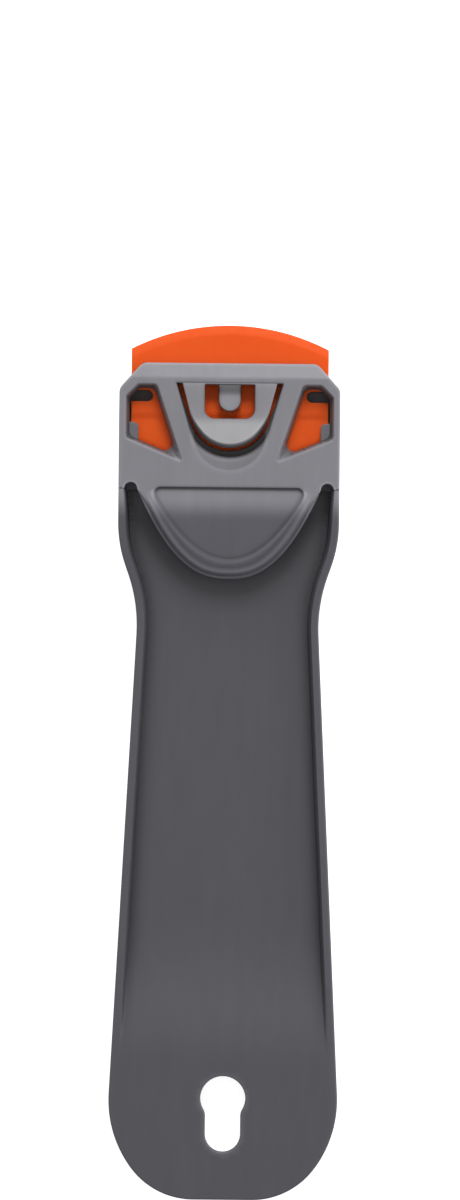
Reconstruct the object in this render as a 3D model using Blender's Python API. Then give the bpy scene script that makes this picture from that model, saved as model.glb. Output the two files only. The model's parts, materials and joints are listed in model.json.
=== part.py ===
"""Hand scraper: a flat moulded handle whose head holds a double-edged plastic blade.

The tool lies on its back, blade towards +Y, the worked face up.  The handle and the
lower jaw are one moulding.  The head cover closes the blade's pocket from above and
carries the sprung release tongue, in whose U-shaped opening the latch finger drops a
peg into the blade's slot.  Places along the tool are distances behind the head's
front edge, and the origin is under the middle of the whole tool.
"""

import math

import bmesh
import bpy
from mathutils import Matrix, Vector

MM = 0.001

# Fits between pieces, and how far a cutter runs past what it cuts
SEAM = 0.3 * MM
BLADE_PLAY = 0.3 * MM
OVERRUN = 2.0 * MM
ON_CENTRE = 0.001 * MM

# Blade
BLADE_HALF_WIDTH = 19.05 * MM
BLADE_HALF_DEPTH = 13.7 * MM
BLADE_BOW = 4.6 * MM
BLADE_THICKNESS = 1.2 * MM
BLADE_EDGE_THICKNESS = 0.3 * MM
BLADE_BEVEL = 1.7 * MM
BLADE_REACH = 7.4 * MM
BAND_HALF_DEPTH = 3.05 * MM
BAND_THICKNESS = 1.8 * MM
SLOT_HALF_WIDTH = 0.875 * MM
SLOT_HALF_LENGTH = 2.9 * MM
NOTCH_DEPTH = 4.2 * MM
NOTCH_HALF_HEIGHT = 1.1 * MM

# Handle and head in plan
HOLDER_LENGTH = 161.5 * MM
POCKET_SIDE_WALL = 1.95 * MM
HEAD_HALF_WIDTH = BLADE_HALF_WIDTH + BLADE_PLAY + POCKET_SIDE_WALL
HEAD_CORNER_SIDE = 4.5 * MM
HEAD_CORNER_BACK = 5.0 * MM
HEAD_CORNER_ROUND = 2.0 * MM
SHOULDER_BACK = 35.0 * MM
SHOULDER_ROUND = 25.0 * MM
NECK_BACK = 46.5 * MM
WAIST_DEPTH = 4.0 * MM
NECK_HALF_WIDTH = HEAD_HALF_WIDTH - WAIST_DEPTH
NECK_ROUND = 30.0 * MM
END_RADIUS = 22.1 * MM
END_CORNER_SHARE = 0.68
END_DEPTH_SHARE = 0.873
END_CORNER_RADIUS = END_RADIUS * END_CORNER_SHARE
END_TO_CENTRE = END_RADIUS * END_DEPTH_SHARE
OUTLINE_STEP = 3.5 * MM
EDGE_ROUND = 0.6 * MM

# Heights
JAW_THICKNESS = 2.4 * MM
PLATE_THICKNESS = 2.6 * MM
HANDLE_HEIGHT = 5.2 * MM
HEIGHT_FALLS_TO = 52.0 * MM
WEB_THICKNESS = 2.2 * MM
LIP_BACK = 2.9 * MM
LIP_DROP = 1.2 * MM

# Tray between the rims, and the hollow under the handle's end
RIM_WIDTH = 1.95 * MM
RIM_WALL_LEAN = 0.7 * MM
RUNOUT_START_TO_END = 57.0 * MM
RUNOUT_LENGTH = 30.0 * MM
RUNOUT_STOP_SHARE = 0.93
RUNOUT_DELAY_POWER = 1.4
RIM_TIP_WIDTH = 1.1 * MM
RIM_TIP_END_BACK = 31.0 * MM
CORE_WALL = 2.0 * MM

# Keyhole at the handle's end
KEYHOLE_TO_END = 19.9 * MM
KEYHOLE_RADIUS = 4.35 * MM
KEYHOLE_SLOT_HALF = 3.475 * MM
KEYHOLE_SLOT_LENGTH = 6.75 * MM
KEYHOLE_FILLET = 1.0 * MM

# Head cover: lobe, recess tips, badge place and skirt
POCKET_REAR_WALL = 4.05 * MM
RECESS_TIP_WIDTH = 2.5 * MM
LOBE_DEPTH = 17.25 * MM
LOBE_ROUND = 1.6 * MM
SKIRT_THICKNESS = 1.6 * MM
BADGE_AHEAD_OF_LINE = 0.55 * MM
BADGE_SIDE_LAND = 2.4 * MM
BADGE_REAR_LAND = 3.7 * MM
BADGE_CORNER = 1.2 * MM
BADGE_SINK = 0.4 * MM

# Windows over the blade, and the ledges that hold its rear corners down
WINDOW_SIDE_WALL = 1.3 * MM
WINDOW_BEHIND_LIP = 1.3 * MM
WINDOW_BAR = 3.85 * MM
WINDOW_CORNER = 2.3 * MM
WINDOW_SHORT_OF_CORNER = 0.8 * MM
WINDOW_TIP_BAR = 0.9 * MM
WINDOW_SHORT_OF_EDGE = 1.05 * MM
WINDOW_ROUND = 0.9 * MM
LEDGE_WIDTH = 2.4 * MM
LEDGE_LENGTH = 3.1 * MM
LEDGE_THICKNESS = 0.8 * MM

# Release tongue and its opening
ROOT_BACK = 3.4 * MM
OPENING_ROOT_SHARE = 0.538
OPENING_ARC_SHARE = 0.43
OPENING_END_BACK = 18.4 * MM
SIDE_SLOT = 1.1 * MM
TONGUE_ARC_INSET = 0.55 * MM
CRESCENT_WIDTH = 2.7 * MM
TONGUE_THICKNESS = 1.6 * MM
HINGE_THICKNESS = 1.0 * MM
HINGE_RUN = 1.6 * MM
TONGUE_EDGE = 0.4 * MM
DISH_RADIUS = 18.0 * MM
DISH_DEPTH = 0.6 * MM
DISH_AHEAD = 1.4 * MM

# U-shaped opening in the tongue, and the latch finger in it
FINGER_HALF_WIDTH = 2.15 * MM
U_LEG = 2.65 * MM
U_REAR_LEG = 1.4 * MM
U_CORNER = 1.9 * MM
HINGE_BAR = 0.2 * MM
FINGER_BEHIND_SLOT = 0.1 * MM
FINGER_THICKNESS = 1.2 * MM
FINGER_ROOT_DROP = 0.2 * MM
FINGER_DROP = 1.0 * MM
FINGER_BEND_RUN = 1.5 * MM
PEG_HALF_WIDTH = 0.55 * MM
PEG_DEPTH_IN_BLADE = 1.1 * MM
PEG_LENGTH = 2.6 * MM
PEG_HOLD_GAP = 0.35 * MM

ARC_STEPS = 6
ROUND_STEPS = 3

# Worked out from the sizes above
TOOL_LENGTH = HOLDER_LENGTH + BLADE_REACH
FRONT_Y = TOOL_LENGTH / 2 - BLADE_REACH
REAR_Y = FRONT_Y - HOLDER_LENGTH
HEAD_FRONT_HALF = HEAD_HALF_WIDTH - HEAD_CORNER_SIDE
END_CENTRE_Y = REAR_Y + END_TO_CENTRE
RUNOUT_START_Y = REAR_Y + RUNOUT_START_TO_END
BLADE_BACK = BLADE_HALF_DEPTH - BLADE_REACH
BLADE_Y = FRONT_Y - BLADE_BACK
BLADE_Z = JAW_THICKNESS + BLADE_PLAY + BAND_THICKNESS / 2
COVER_UNDERSIDE = BLADE_Z + BAND_THICKNESS / 2 + BLADE_PLAY
SEAT_HEIGHT = COVER_UNDERSIDE - SEAM
HEAD_HEIGHT = COVER_UNDERSIDE + PLATE_THICKNESS
LOBE_LINE_BACK = BLADE_BACK + BLADE_HALF_DEPTH + BLADE_PLAY + POCKET_REAR_WALL
TIP_RADIUS = RECESS_TIP_WIDTH / 2
TIP_CENTRE = HEAD_HALF_WIDTH - RIM_TIP_WIDTH - TIP_RADIUS
LOBE_HALF_WIDTH = TIP_CENTRE - TIP_RADIUS
BADGE_LINE_BACK = LOBE_LINE_BACK - BADGE_AHEAD_OF_LINE
BADGE_HALF_WIDTH = LOBE_HALF_WIDTH - BADGE_SIDE_LAND
BADGE_DEPTH = BADGE_AHEAD_OF_LINE + LOBE_DEPTH - BADGE_REAR_LAND
OPENING_ROOT_HALF = BLADE_HALF_WIDTH * OPENING_ROOT_SHARE
OPENING_ARC_RADIUS = BLADE_HALF_WIDTH * OPENING_ARC_SHARE
WINDOW_OUTER = HEAD_HALF_WIDTH - WINDOW_SIDE_WALL
WINDOW_FRONT_BACK = LIP_BACK + WINDOW_BEHIND_LIP
WINDOW_INNER = OPENING_ROOT_HALF + WINDOW_BAR
WINDOW_REAR_BACK = BLADE_BACK + BLADE_HALF_DEPTH - BLADE_BOW - WINDOW_SHORT_OF_CORNER
WINDOW_TIP = OPENING_ARC_RADIUS + WINDOW_TIP_BAR
WINDOW_TIP_BACK = BLADE_BACK + BLADE_HALF_DEPTH - WINDOW_SHORT_OF_EDGE
TONGUE_ROOT_HALF = OPENING_ROOT_HALF - SIDE_SLOT
TONGUE_ARC_RADIUS = OPENING_ARC_RADIUS - TONGUE_ARC_INSET
TONGUE_END_BACK = OPENING_END_BACK - CRESCENT_WIDTH
DISH_BACK = OPENING_END_BACK - DISH_AHEAD
FINGER_END_BACK = BLADE_BACK + SLOT_HALF_LENGTH + FINGER_BEHIND_SLOT
U_HALF_WIDTH = FINGER_HALF_WIDTH + U_LEG
U_END_BACK = FINGER_END_BACK + U_REAR_LEG
HINGE_Y = FRONT_Y - ROOT_BACK - SEAM - HINGE_THICKNESS / 2
HINGE_Z = HEAD_HEIGHT - HINGE_THICKNESS / 2
U_FRONT_Y = HINGE_Y - HINGE_BAR
TOP = HEAD_HEIGHT + OVERRUN

GREY_ROUGHNESS = 0.5
BLADE_ROUGHNESS = 0.35


def behind(distance):
    """The Y of a place this far behind the head's front edge."""
    return FRONT_Y - distance


def arc(centre, radius, start, end, steps=ARC_STEPS):
    """Points on a circle from one angle to another, in degrees, both ends included."""
    angles = [math.radians(start + (end - start) * i / steps) for i in range(steps + 1)]
    return [(centre[0] + radius * math.cos(a), centre[1] + radius * math.sin(a)) for a in angles]


def rounded(points, radii, steps=ARC_STEPS):
    """An open run of corners with each inner corner made an arc that touches both its sides."""
    out = [points[0]]
    for before, corner, after, radius in zip(points, points[1:], points[2:], radii):
        corner = Vector(corner)
        arm_in = (Vector(before) - corner).normalized()
        arm_out = (Vector(after) - corner).normalized()
        half = arm_in.angle(arm_out) / 2
        centre = corner + (arm_in + arm_out).normalized() * radius / math.sin(half)
        first = corner + arm_in * radius / math.tan(half) - centre
        last = corner + arm_out * radius / math.tan(half) - centre
        turn = first.angle_signed(last)
        for i in range(steps + 1):
            spoke = Matrix.Rotation(-turn * i / steps, 2) @ first
            out.append(tuple(centre + spoke))
    return out + [points[-1]]


def rounded_loop(corners, radius, steps=ARC_STEPS):
    """A closed polygon with every corner made an arc of one radius."""
    run = [corners[-1], *corners, corners[0]]
    return rounded(run, [radius] * len(corners), steps)[1:-1]


def split_long(points, longest):
    """The same run of points, with equal stations put in where two lie far apart."""
    out = [points[0]]
    for a, b in zip(points, points[1:]):
        pieces = max(1, math.ceil(math.dist(a, b) / longest))
        for i in range(1, pieces + 1):
            out.append((a[0] + (b[0] - a[0]) * i / pieces, a[1] + (b[1] - a[1]) * i / pieces))
    return out


def both_sides(half):
    """A counter-clockwise outline from its right half, front to rear, with centre points kept once."""
    return [(-x, y) for x, y in half if x > ON_CENTRE] + half[::-1]


def shrink(outline, distance):
    """A closed counter-clockwise outline moved inwards, by one distance or one for each point."""
    count = len(outline)
    distances = distance if isinstance(distance, list) else [distance] * count
    out = []
    for i, (x, y) in enumerate(outline):
        before, after = outline[i - 1], outline[(i + 1) % count]
        n1 = Vector((before[1] - y, x - before[0])).normalized()
        n2 = Vector((y - after[1], after[0] - x)).normalized()
        move = (n1 + n2) / (1 + n1.dot(n2)) * distances[i]
        out.append((x + move.x, y + move.y))
    return out


def tangent_angle(centre, radius, point):
    """The angle, in degrees, at which a line from the point touches a circle on its right side."""
    away = Vector(point) - Vector(centre)
    return math.degrees(math.atan2(away.y, away.x) - math.acos(radius / away.length))


def height_at(y):
    """The top of rims and lobe: the head's height, easing down to the handle's behind the lobe's line."""
    start, end = behind(LOBE_LINE_BACK), behind(HEIGHT_FALLS_TO)
    share = min(1.0, max(0.0, (start - y) / (start - end)))
    ease = (1 - math.cos(math.pi * share)) / 2
    return HEAD_HEIGHT + (HANDLE_HEIGHT - HEAD_HEIGHT) * ease


def new_mesh_object(name, bm, origin=(0, 0, 0), parent=None):
    """An object from a bmesh in world places, with its own origin."""
    bmesh.ops.translate(bm, verts=bm.verts, vec=-Vector(origin))
    bmesh.ops.recalc_face_normals(bm, faces=bm.faces)
    mesh = bpy.data.meshes.new(name)
    bm.to_mesh(mesh)
    bm.free()
    obj = bpy.data.objects.new(name, mesh)
    bpy.context.collection.objects.link(obj)
    if parent is None:
        obj.location = origin
    else:
        obj.parent = parent
        obj.location = Vector(origin) - parent.location
    return obj


def loft(rings, ladder=False):
    """A closed bmesh through rings of 3-D points, capped flat, or in cross strips where a cap bends."""
    bm = bmesh.new()
    loops = [[bm.verts.new(p) for p in ring] for ring in rings]
    count = len(rings[0])
    for low, high in zip(loops, loops[1:]):
        for i in range(count):
            j = (i + 1) % count
            bm.faces.new((low[i], low[j], high[j], high[i]))
    for loop in (loops[0], loops[-1]):
        if not ladder:
            bm.faces.new(loop)
            continue
        for i in range((count - 1) // 2):
            rung = (loop[i], loop[i + 1], loop[count - 2 - i], loop[count - 1 - i])
            bm.faces.new(dict.fromkeys(rung))
    return bm


def prism(outline, bottom, top):
    """A closed bmesh that stands on an outline, between two heights."""
    return loft([[(x, y, z) for x, y in outline] for z in (bottom, top)])


def side_prism(profile, half_width):
    """A closed bmesh that carries a (y, z) profile across the tool."""
    return loft([[(x, y, z) for y, z in profile] for x in (-half_width, half_width)])


def hidden(obj):
    """Marks a cutter or guide, which isn't part of the model."""
    obj.hide_render = True
    obj.display_type = "WIRE"
    return obj


def cutter(name, bm):
    """A hidden object for a Boolean."""
    return hidden(new_mesh_object(name, bm))


def combine(obj, tool, operation):
    """Adds an exact Boolean of the named kind."""
    modifier = obj.modifiers.new(f"{operation.lower()} {tool.name}", "BOOLEAN")
    modifier.operation = operation
    modifier.solver = "EXACT"
    modifier.object = tool
    return obj


def finish(obj, material):
    """Gives an object its material and soft shading across gentle angles."""
    obj.data.materials.append(material)
    obj.data.shade_smooth()
    obj.data.set_sharp_from_angle(angle=math.radians(35))
    return obj


def plastic(name, colour, roughness):
    """A moulded plastic of one linear colour."""
    material = bpy.data.materials.new(name)
    material.use_nodes = True
    shader = material.node_tree.nodes["Principled BSDF"]
    shader.inputs["Base Color"].default_value = (*colour, 1)
    shader.inputs["Roughness"].default_value = roughness
    shader.inputs["Metallic"].default_value = 0
    return material


def holder_half():
    """The right half of the holder's outline: clipped front corners, waist and round end."""
    neck = (NECK_HALF_WIDTH, behind(NECK_BACK))
    end = (0, END_CENTRE_Y)
    touch = tangent_angle(end, END_RADIUS, neck)
    across = END_RADIUS - END_CORNER_RADIUS
    down = END_TO_CENTRE - END_CORNER_RADIUS
    corner = (math.sqrt(across**2 - down**2), END_CENTRE_Y - down)
    join = math.degrees(math.atan2(-down, corner[0]))
    rear = arc(end, END_RADIUS, touch, join, 2 * ARC_STEPS)
    rear += arc(corner, END_CORNER_RADIUS, join, -90, 2 * ARC_STEPS)[1:]
    corners = [
        (0, FRONT_Y),
        (HEAD_FRONT_HALF, FRONT_Y),
        (HEAD_HALF_WIDTH, behind(HEAD_CORNER_BACK)),
        (HEAD_HALF_WIDTH, behind(SHOULDER_BACK)),
        neck,
        rear[0],
    ]
    radii = [HEAD_CORNER_ROUND, HEAD_CORNER_ROUND, SHOULDER_ROUND, NECK_ROUND]
    return split_long(rounded(corners, radii)[1:-1] + rear, OUTLINE_STEP)


def edge_rings(outline, top_at, bottom=0, top_round=EDGE_ROUND, bottom_round=EDGE_ROUND):
    """Rings up an outline's side, with a quarter round at the foot and another at the top."""
    angles = [math.pi / 2 * i / ROUND_STEPS for i in range(ROUND_STEPS + 1)]
    rings = []
    for a in angles:
        ring = shrink(outline, bottom_round * (1 - math.sin(a)))
        rings.append([(x, y, bottom + bottom_round * (1 - math.cos(a))) for x, y in ring])
    rounds = top_round if isinstance(top_round, list) else [top_round] * len(outline)
    for a in angles:
        ring = shrink(outline, [r * (1 - math.cos(a)) for r in rounds])
        tops = [top_at(y) - r * (1 - math.sin(a)) for (_, y), r in zip(outline, rounds)]
        rings.append([(x, y, z) for (x, y), z in zip(ring, tops)])
    return rings


def parabola(line_back, half_width, depth, steps=3 * ARC_STEPS):
    """The half-moon curve of lobe and badge, right to left, bulging to the rear from its line."""
    shares = [1 - 2 * i / steps for i in range(steps + 1)]
    return [(s * half_width, behind(line_back + depth * (1 - s * s))) for s in shares]


def lobe_inside(step_in):
    """The lobe's curve moved in from its edge, running on forwards under the cover."""
    curve = parabola(LOBE_LINE_BACK, LOBE_HALF_WIDTH, LOBE_DEPTH)
    front = [(-LOBE_HALF_WIDTH, FRONT_Y), (LOBE_HALF_WIDTH, FRONT_Y)]
    return shrink((curve + front)[::-1], step_in)


def runout_profile():
    """The tray floor's (y, z) run: level, then easing up, slowly at first, until it meets the rims' height."""
    rise = HANDLE_HEIGHT - WEB_THICKNESS
    steps = 2 * ARC_STEPS
    run = []
    for i in range(steps + 1):
        share = RUNOUT_STOP_SHARE * i / steps
        ease = (1 - math.cos(math.pi * share**RUNOUT_DELAY_POWER)) / 2
        run.append((RUNOUT_START_Y - RUNOUT_LENGTH * share, WEB_THICKNESS + rise * ease))
    (y0, z0), (y1, z1) = run[-2:]
    slope = (z1 - z0) / (y0 - y1)
    return run + [(y1 - OVERRUN / slope, z1 + OVERRUN)]


def tray_cutter():
    """The tray with leaning walls, its recess tips beside the lobe and its run-out at the rear."""
    rim = shrink(both_sides(holder_half()), RIM_WIDTH)
    right = rim[len(rim) // 2 :][::-1]
    behind_tips = [p for p in right if p[1] < behind(RIM_TIP_END_BACK)]
    tip = arc((TIP_CENTRE, behind(LOBE_LINE_BACK)), TIP_RADIUS, 90, 0)
    half = split_long(tip + [behind_tips[0]], OUTLINE_STEP) + behind_tips[1:]
    outline = both_sides(half)
    lean = [RIM_WALL_LEAN / (height_at(y) - WEB_THICKNESS) for _, y in outline]
    feet = shrink(outline, [RIM_WALL_LEAN + OVERRUN * k for k in lean])
    heads = shrink(outline, [-OVERRUN * k for k in lean])
    low = [(x, y, WEB_THICKNESS - OVERRUN) for x, y in feet]
    high = [(x, y, height_at(y0) + OVERRUN) for (x, y), (_, y0) in zip(heads, outline)]
    tray = cutter("tray_cut", loft([low, high], ladder=True))
    floor = runout_profile()
    slab = [(FRONT_Y, WEB_THICKNESS), *floor, (floor[-1][0], TOP + OVERRUN), (FRONT_Y, TOP + OVERRUN)]
    above_floor = cutter("above_floor", side_prism(slab, HEAD_HALF_WIDTH + OVERRUN))
    combine(tray, above_floor, "INTERSECT")
    pad = cutter("pad_guide", prism(lobe_inside(SKIRT_THICKNESS + SEAM), -OVERRUN, TOP + OVERRUN))
    return combine(tray, pad, "DIFFERENCE")


def core_cutter():
    """The hollow under the handle's end, which keeps one wall thickness under the run-out."""
    walls = shrink(both_sides(holder_half()), CORE_WALL + RIM_WALL_LEAN)
    right = walls[len(walls) // 2 :][::-1]
    rear = [p for p in right if p[1] < RUNOUT_START_Y]
    room = cutter("core_cut", prism(both_sides(rear), -OVERRUN, HANDLE_HEIGHT))
    roof = [(y, z - WEB_THICKNESS) for y, z in runout_profile()[:-1]]
    roof_top = HANDLE_HEIGHT - WEB_THICKNESS
    under = [(FRONT_Y, -2 * OVERRUN), (FRONT_Y, 0), *roof, (REAR_Y, roof_top), (REAR_Y, -2 * OVERRUN)]
    return combine(room, cutter("under_roof", side_prism(under, HEAD_HALF_WIDTH + OVERRUN)), "INTERSECT")


def keyhole_cutter():
    """A round hole with a round-ended slot behind it, their meeting corners filleted."""
    centre = (0, REAR_Y + KEYHOLE_TO_END)
    slot_end = (0, centre[1] - KEYHOLE_SLOT_LENGTH)
    fillet_x = KEYHOLE_SLOT_HALF + KEYHOLE_FILLET
    fillet_y = math.sqrt((KEYHOLE_RADIUS + KEYHOLE_FILLET) ** 2 - fillet_x**2)
    join = math.degrees(math.atan2(-fillet_y, fillet_x))
    half = arc(centre, KEYHOLE_RADIUS, 90, join, 2 * ARC_STEPS)
    half += arc((fillet_x, centre[1] - fillet_y), KEYHOLE_FILLET, 180 + join, 180, 2)[1:]
    half += arc(slot_end, KEYHOLE_SLOT_HALF, 0, -90)
    return cutter("keyhole_cut", prism(both_sides(half), -OVERRUN, HANDLE_HEIGHT + OVERRUN))


def blade_bow(x):
    """How far the blade's edge falls back from its middle at this x, on one circle."""
    radius = (BLADE_HALF_WIDTH**2 + BLADE_BOW**2) / (2 * BLADE_BOW)
    return radius - math.sqrt(radius**2 - x**2)


def pocket_cutter():
    """The blade's pocket in the lower jaw, open at the front, its rear wall bowed as the blade is."""
    side = BLADE_HALF_WIDTH + BLADE_PLAY
    front_y = FRONT_Y + OVERRUN
    steps = 2 * ARC_STEPS
    rear = []
    for i in range(steps + 1):
        x = side * (1 - 2 * i / steps)
        bow = blade_bow(min(BLADE_HALF_WIDTH, abs(x)))
        rear.append((x, BLADE_Y - BLADE_HALF_DEPTH - BLADE_PLAY + bow))
    outline = [(-side, front_y), *rear[::-1], (side, front_y)]
    return cutter("pocket_cut", prism(outline, JAW_THICKNESS, TOP))


def lip_cutter(name, edge_z, flat_z):
    """A wedge that thins a jaw towards its front edge."""
    slope = (flat_z - edge_z) / LIP_BACK
    away = math.copysign(OVERRUN, flat_z - edge_z)
    wedge = [
        (FRONT_Y + OVERRUN, edge_z - slope * OVERRUN),
        (behind(LIP_BACK + OVERRUN), flat_z + slope * OVERRUN),
        (behind(LIP_BACK + OVERRUN), flat_z + slope * OVERRUN + away),
        (FRONT_Y + OVERRUN, flat_z + slope * OVERRUN + away),
    ]
    return cutter(name, side_prism(wedge, HEAD_HALF_WIDTH + OVERRUN))


def make_handle(material):
    """Handle and lower jaw: rims round a tray that runs out to the rear, seat, pocket and keyhole."""
    handle = new_mesh_object("handle", loft(edge_rings(both_sides(holder_half()), height_at), ladder=True))
    side = HEAD_HALF_WIDTH + OVERRUN
    line = behind(LOBE_LINE_BACK + SEAM)
    front = FRONT_Y + OVERRUN
    seat = [(-side, front), (-side, line), (side, line), (side, front)]
    combine(handle, cutter("seat_cut", prism(seat, SEAT_HEIGHT, TOP)), "DIFFERENCE")
    lobe_room = cutter("lobe_cut", prism(lobe_inside(0), SEAT_HEIGHT, TOP))
    combine(handle, lobe_room, "DIFFERENCE")
    combine(handle, tray_cutter(), "DIFFERENCE")
    combine(handle, pocket_cutter(), "DIFFERENCE")
    combine(handle, core_cutter(), "DIFFERENCE")
    combine(handle, keyhole_cutter(), "DIFFERENCE")
    combine(handle, lip_cutter("lower_lip_cut", LIP_DROP, 0), "DIFFERENCE")
    return finish(handle, material)


def cover_outline():
    """The cover's plate, whose rear line crosses under the lobe, and the top rounding at each of its points."""
    half = [p for p in holder_half() if p[1] > behind(LOBE_LINE_BACK)]
    half = [p for p in half if p[0] > 0] + [(HEAD_HALF_WIDTH, behind(LOBE_LINE_BACK))]
    cap = arc((TIP_CENTRE, behind(LOBE_LINE_BACK)), TIP_RADIUS, 0, 180)
    right = half + cap
    rounds = [EDGE_ROUND] * (len(half) - 1) + [EDGE_ROUND / 2] * (1 + len(cap))
    return [(-x, y) for x, y in right] + right[::-1], rounds + rounds[::-1]


def lobe_rings(foot):
    """The lobe's rings, from its foot up: it follows the rims' fall, well rounded along its curve."""
    curve = parabola(LOBE_LINE_BACK, LOBE_HALF_WIDTH, LOBE_DEPTH)[::-1]
    front_y = behind(LOBE_LINE_BACK - POCKET_REAR_WALL)
    outline = [(-LOBE_HALF_WIDTH, front_y), *curve, (LOBE_HALF_WIDTH, front_y)]
    ends = [EDGE_ROUND / 2] * 2
    rounds = ends + [LOBE_ROUND] * (len(curve) - 2) + ends
    return edge_rings(outline, height_at, foot, rounds, SEAM / 2)


def badge_outline():
    """The half-moon of the badge's place: a straight front line, round corners and a parabola."""
    curve = parabola(BADGE_LINE_BACK, BADGE_HALF_WIDTH, BADGE_DEPTH)
    corner = rounded([(0, behind(BADGE_LINE_BACK)), curve[0], curve[1]], [BADGE_CORNER], ROUND_STEPS)[1:-1]
    left_corner = [(-x, y) for x, y in corner[::-1]]
    return (corner + curve[1:-1] + left_corner)[::-1]


def window_outline(side):
    """One window: a five-cornered opening that narrows to a point beside the tongue."""
    corners = [
        (WINDOW_OUTER, behind(WINDOW_FRONT_BACK + WINDOW_CORNER)),
        (WINDOW_OUTER - WINDOW_CORNER, behind(WINDOW_FRONT_BACK)),
        (WINDOW_INNER, behind(WINDOW_FRONT_BACK)),
        (WINDOW_TIP, behind(WINDOW_TIP_BACK)),
        (WINDOW_OUTER, behind(WINDOW_REAR_BACK)),
    ]
    radii = [WINDOW_ROUND] * 3 + [WINDOW_ROUND / 3, WINDOW_ROUND]
    run = rounded([corners[-1], *corners, corners[0]], radii, ROUND_STEPS)[1:-1]
    return [(side * x, y) for x, y in run]


def window_cutter(name, side):
    """A window's cutter, held off at the outer rear corner, where a thin ledge stays over the blade."""
    window = cutter(f"window_{name}", prism(window_outline(side), COVER_UNDERSIDE - OVERRUN, TOP))
    left, right = sorted((side * (WINDOW_OUTER - LEDGE_WIDTH), side * (WINDOW_OUTER + OVERRUN)))
    rear, front = behind(WINDOW_REAR_BACK + OVERRUN), behind(WINDOW_REAR_BACK - LEDGE_LENGTH)
    corners = [(left, front), (left, rear), (right, rear), (right, front)]
    ledge = prism(rounded_loop(corners, WINDOW_ROUND, ROUND_STEPS), 0, COVER_UNDERSIDE + LEDGE_THICKNESS)
    return combine(window, cutter(f"ledge_{name}", ledge), "DIFFERENCE")


def round_ended(root_half, arc_radius, end_back, root_y, overrun=0):
    """A tapering strip from its root line to a round rear end, sides touching the end's circle."""
    centre = (0, behind(end_back) + arc_radius)
    root = Vector((root_half, root_y))
    end = arc(centre, arc_radius, tangent_angle(centre, arc_radius, root), -90, 3 * ARC_STEPS)
    start = root + (root - Vector(end[0])).normalized() * overrun
    return both_sides([tuple(start)] + end)


def make_cover(material):
    """Head cover: plate with front lip, two windows, tongue opening, badge place and skirted lobe."""
    outline, rounds = cover_outline()
    skirt_foot = WEB_THICKNESS + SEAM
    rings = edge_rings(outline, height_at, skirt_foot, rounds, SEAM / 2)
    cover = new_mesh_object("head_cover", loft(rings))
    combine(cover, cutter("lobe", loft(lobe_rings(skirt_foot), ladder=True)), "UNION")
    side = HEAD_HALF_WIDTH + OVERRUN
    line = behind(LOBE_LINE_BACK + OVERRUN)
    front = FRONT_Y + OVERRUN
    plate_room = [(-side, front), (-side, line), (side, line), (side, front)]
    for name, room in (("plate_room", plate_room), ("skirt_room", lobe_inside(SKIRT_THICKNESS))):
        shape = prism(room, -OVERRUN, COVER_UNDERSIDE)
        combine(cover, cutter(name, shape), "DIFFERENCE")
    combine(cover, lip_cutter("upper_lip_cut", HEAD_HEIGHT - LIP_DROP, HEAD_HEIGHT), "DIFFERENCE")
    for name, sign in (("left", -1), ("right", 1)):
        combine(cover, window_cutter(name, sign), "DIFFERENCE")
    opening = round_ended(OPENING_ROOT_HALF, OPENING_ARC_RADIUS, OPENING_END_BACK, behind(ROOT_BACK))
    combine(cover, cutter("tongue_room", prism(opening, COVER_UNDERSIDE - OVERRUN, TOP)), "DIFFERENCE")
    badge = badge_outline()
    badge_floor = [(x, y, height_at(y) - BADGE_SINK) for x, y in badge]
    sunk = loft([badge_floor, [(x, y, TOP) for x, y in badge]], ladder=True)
    combine(cover, cutter("badge_cut", sunk), "DIFFERENCE")
    dish = bmesh.new()
    place = (0, behind(DISH_BACK), HEAD_HEIGHT + DISH_RADIUS - DISH_DEPTH)
    bmesh.ops.create_uvsphere(
        dish, u_segments=48, v_segments=40, radius=DISH_RADIUS, matrix=Matrix.Translation(place)
    )
    combine(cover, cutter("dish_cut", dish), "DIFFERENCE")
    return finish(cover, material)


def make_tongue(material, hinge):
    """Release tongue: a sprung plate on a thin root, rounded at its free rear edge."""
    root_y = HINGE_Y + HINGE_THICKNESS / 2
    plan = round_ended(TONGUE_ROOT_HALF, TONGUE_ARC_RADIUS, TONGUE_END_BACK, root_y, OVERRUN)
    tongue = new_mesh_object("release_tongue", prism(plan, COVER_UNDERSIDE, TOP), hinge.location, hinge)
    under = HEAD_HEIGHT - TONGUE_THICKNESS
    end_y = behind(TONGUE_END_BACK)
    root = arc((HINGE_Y, HINGE_Z), HINGE_THICKNESS / 2, 90, -90)
    side = [
        *root,
        (HINGE_Y - HINGE_RUN, under),
        (end_y + TONGUE_EDGE, under),
        (end_y, under + TONGUE_EDGE),
        (end_y, HEAD_HEIGHT - TONGUE_EDGE),
        (end_y + TONGUE_EDGE, HEAD_HEIGHT),
    ]
    combine(tongue, cutter("tongue_side", side_prism(side, OPENING_ROOT_HALF)), "INTERSECT")
    rear = behind(U_END_BACK)
    corners = [(0, rear), (U_HALF_WIDTH, rear), (U_HALF_WIDTH, U_FRONT_Y)]
    half = rounded(corners, [U_CORNER])[1:][::-1]
    combine(tongue, cutter("u_cut", prism(both_sides(half), COVER_UNDERSIDE - OVERRUN, TOP)), "DIFFERENCE")
    return finish(tongue, material)


def peg_profile(start):
    """The peg's (y, z) side: where it holds the blade, its rear face leans square to the hinge's spoke."""
    blade_top = BLADE_Z + BAND_THICKNESS / 2
    foot = blade_top - PEG_DEPTH_IN_BLADE
    hold_y = BLADE_Y - SLOT_HALF_LENGTH + PEG_HOLD_GAP
    lean = (HINGE_Z - blade_top) / (HINGE_Y - hold_y)
    foot_y = hold_y + PEG_DEPTH_IN_BLADE * lean
    toe = (foot_y + PEG_LENGTH / 4, foot)
    heel = (hold_y + PEG_LENGTH, start)
    return [(hold_y, start), (hold_y, blade_top), (foot_y, foot), toe, heel]


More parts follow.
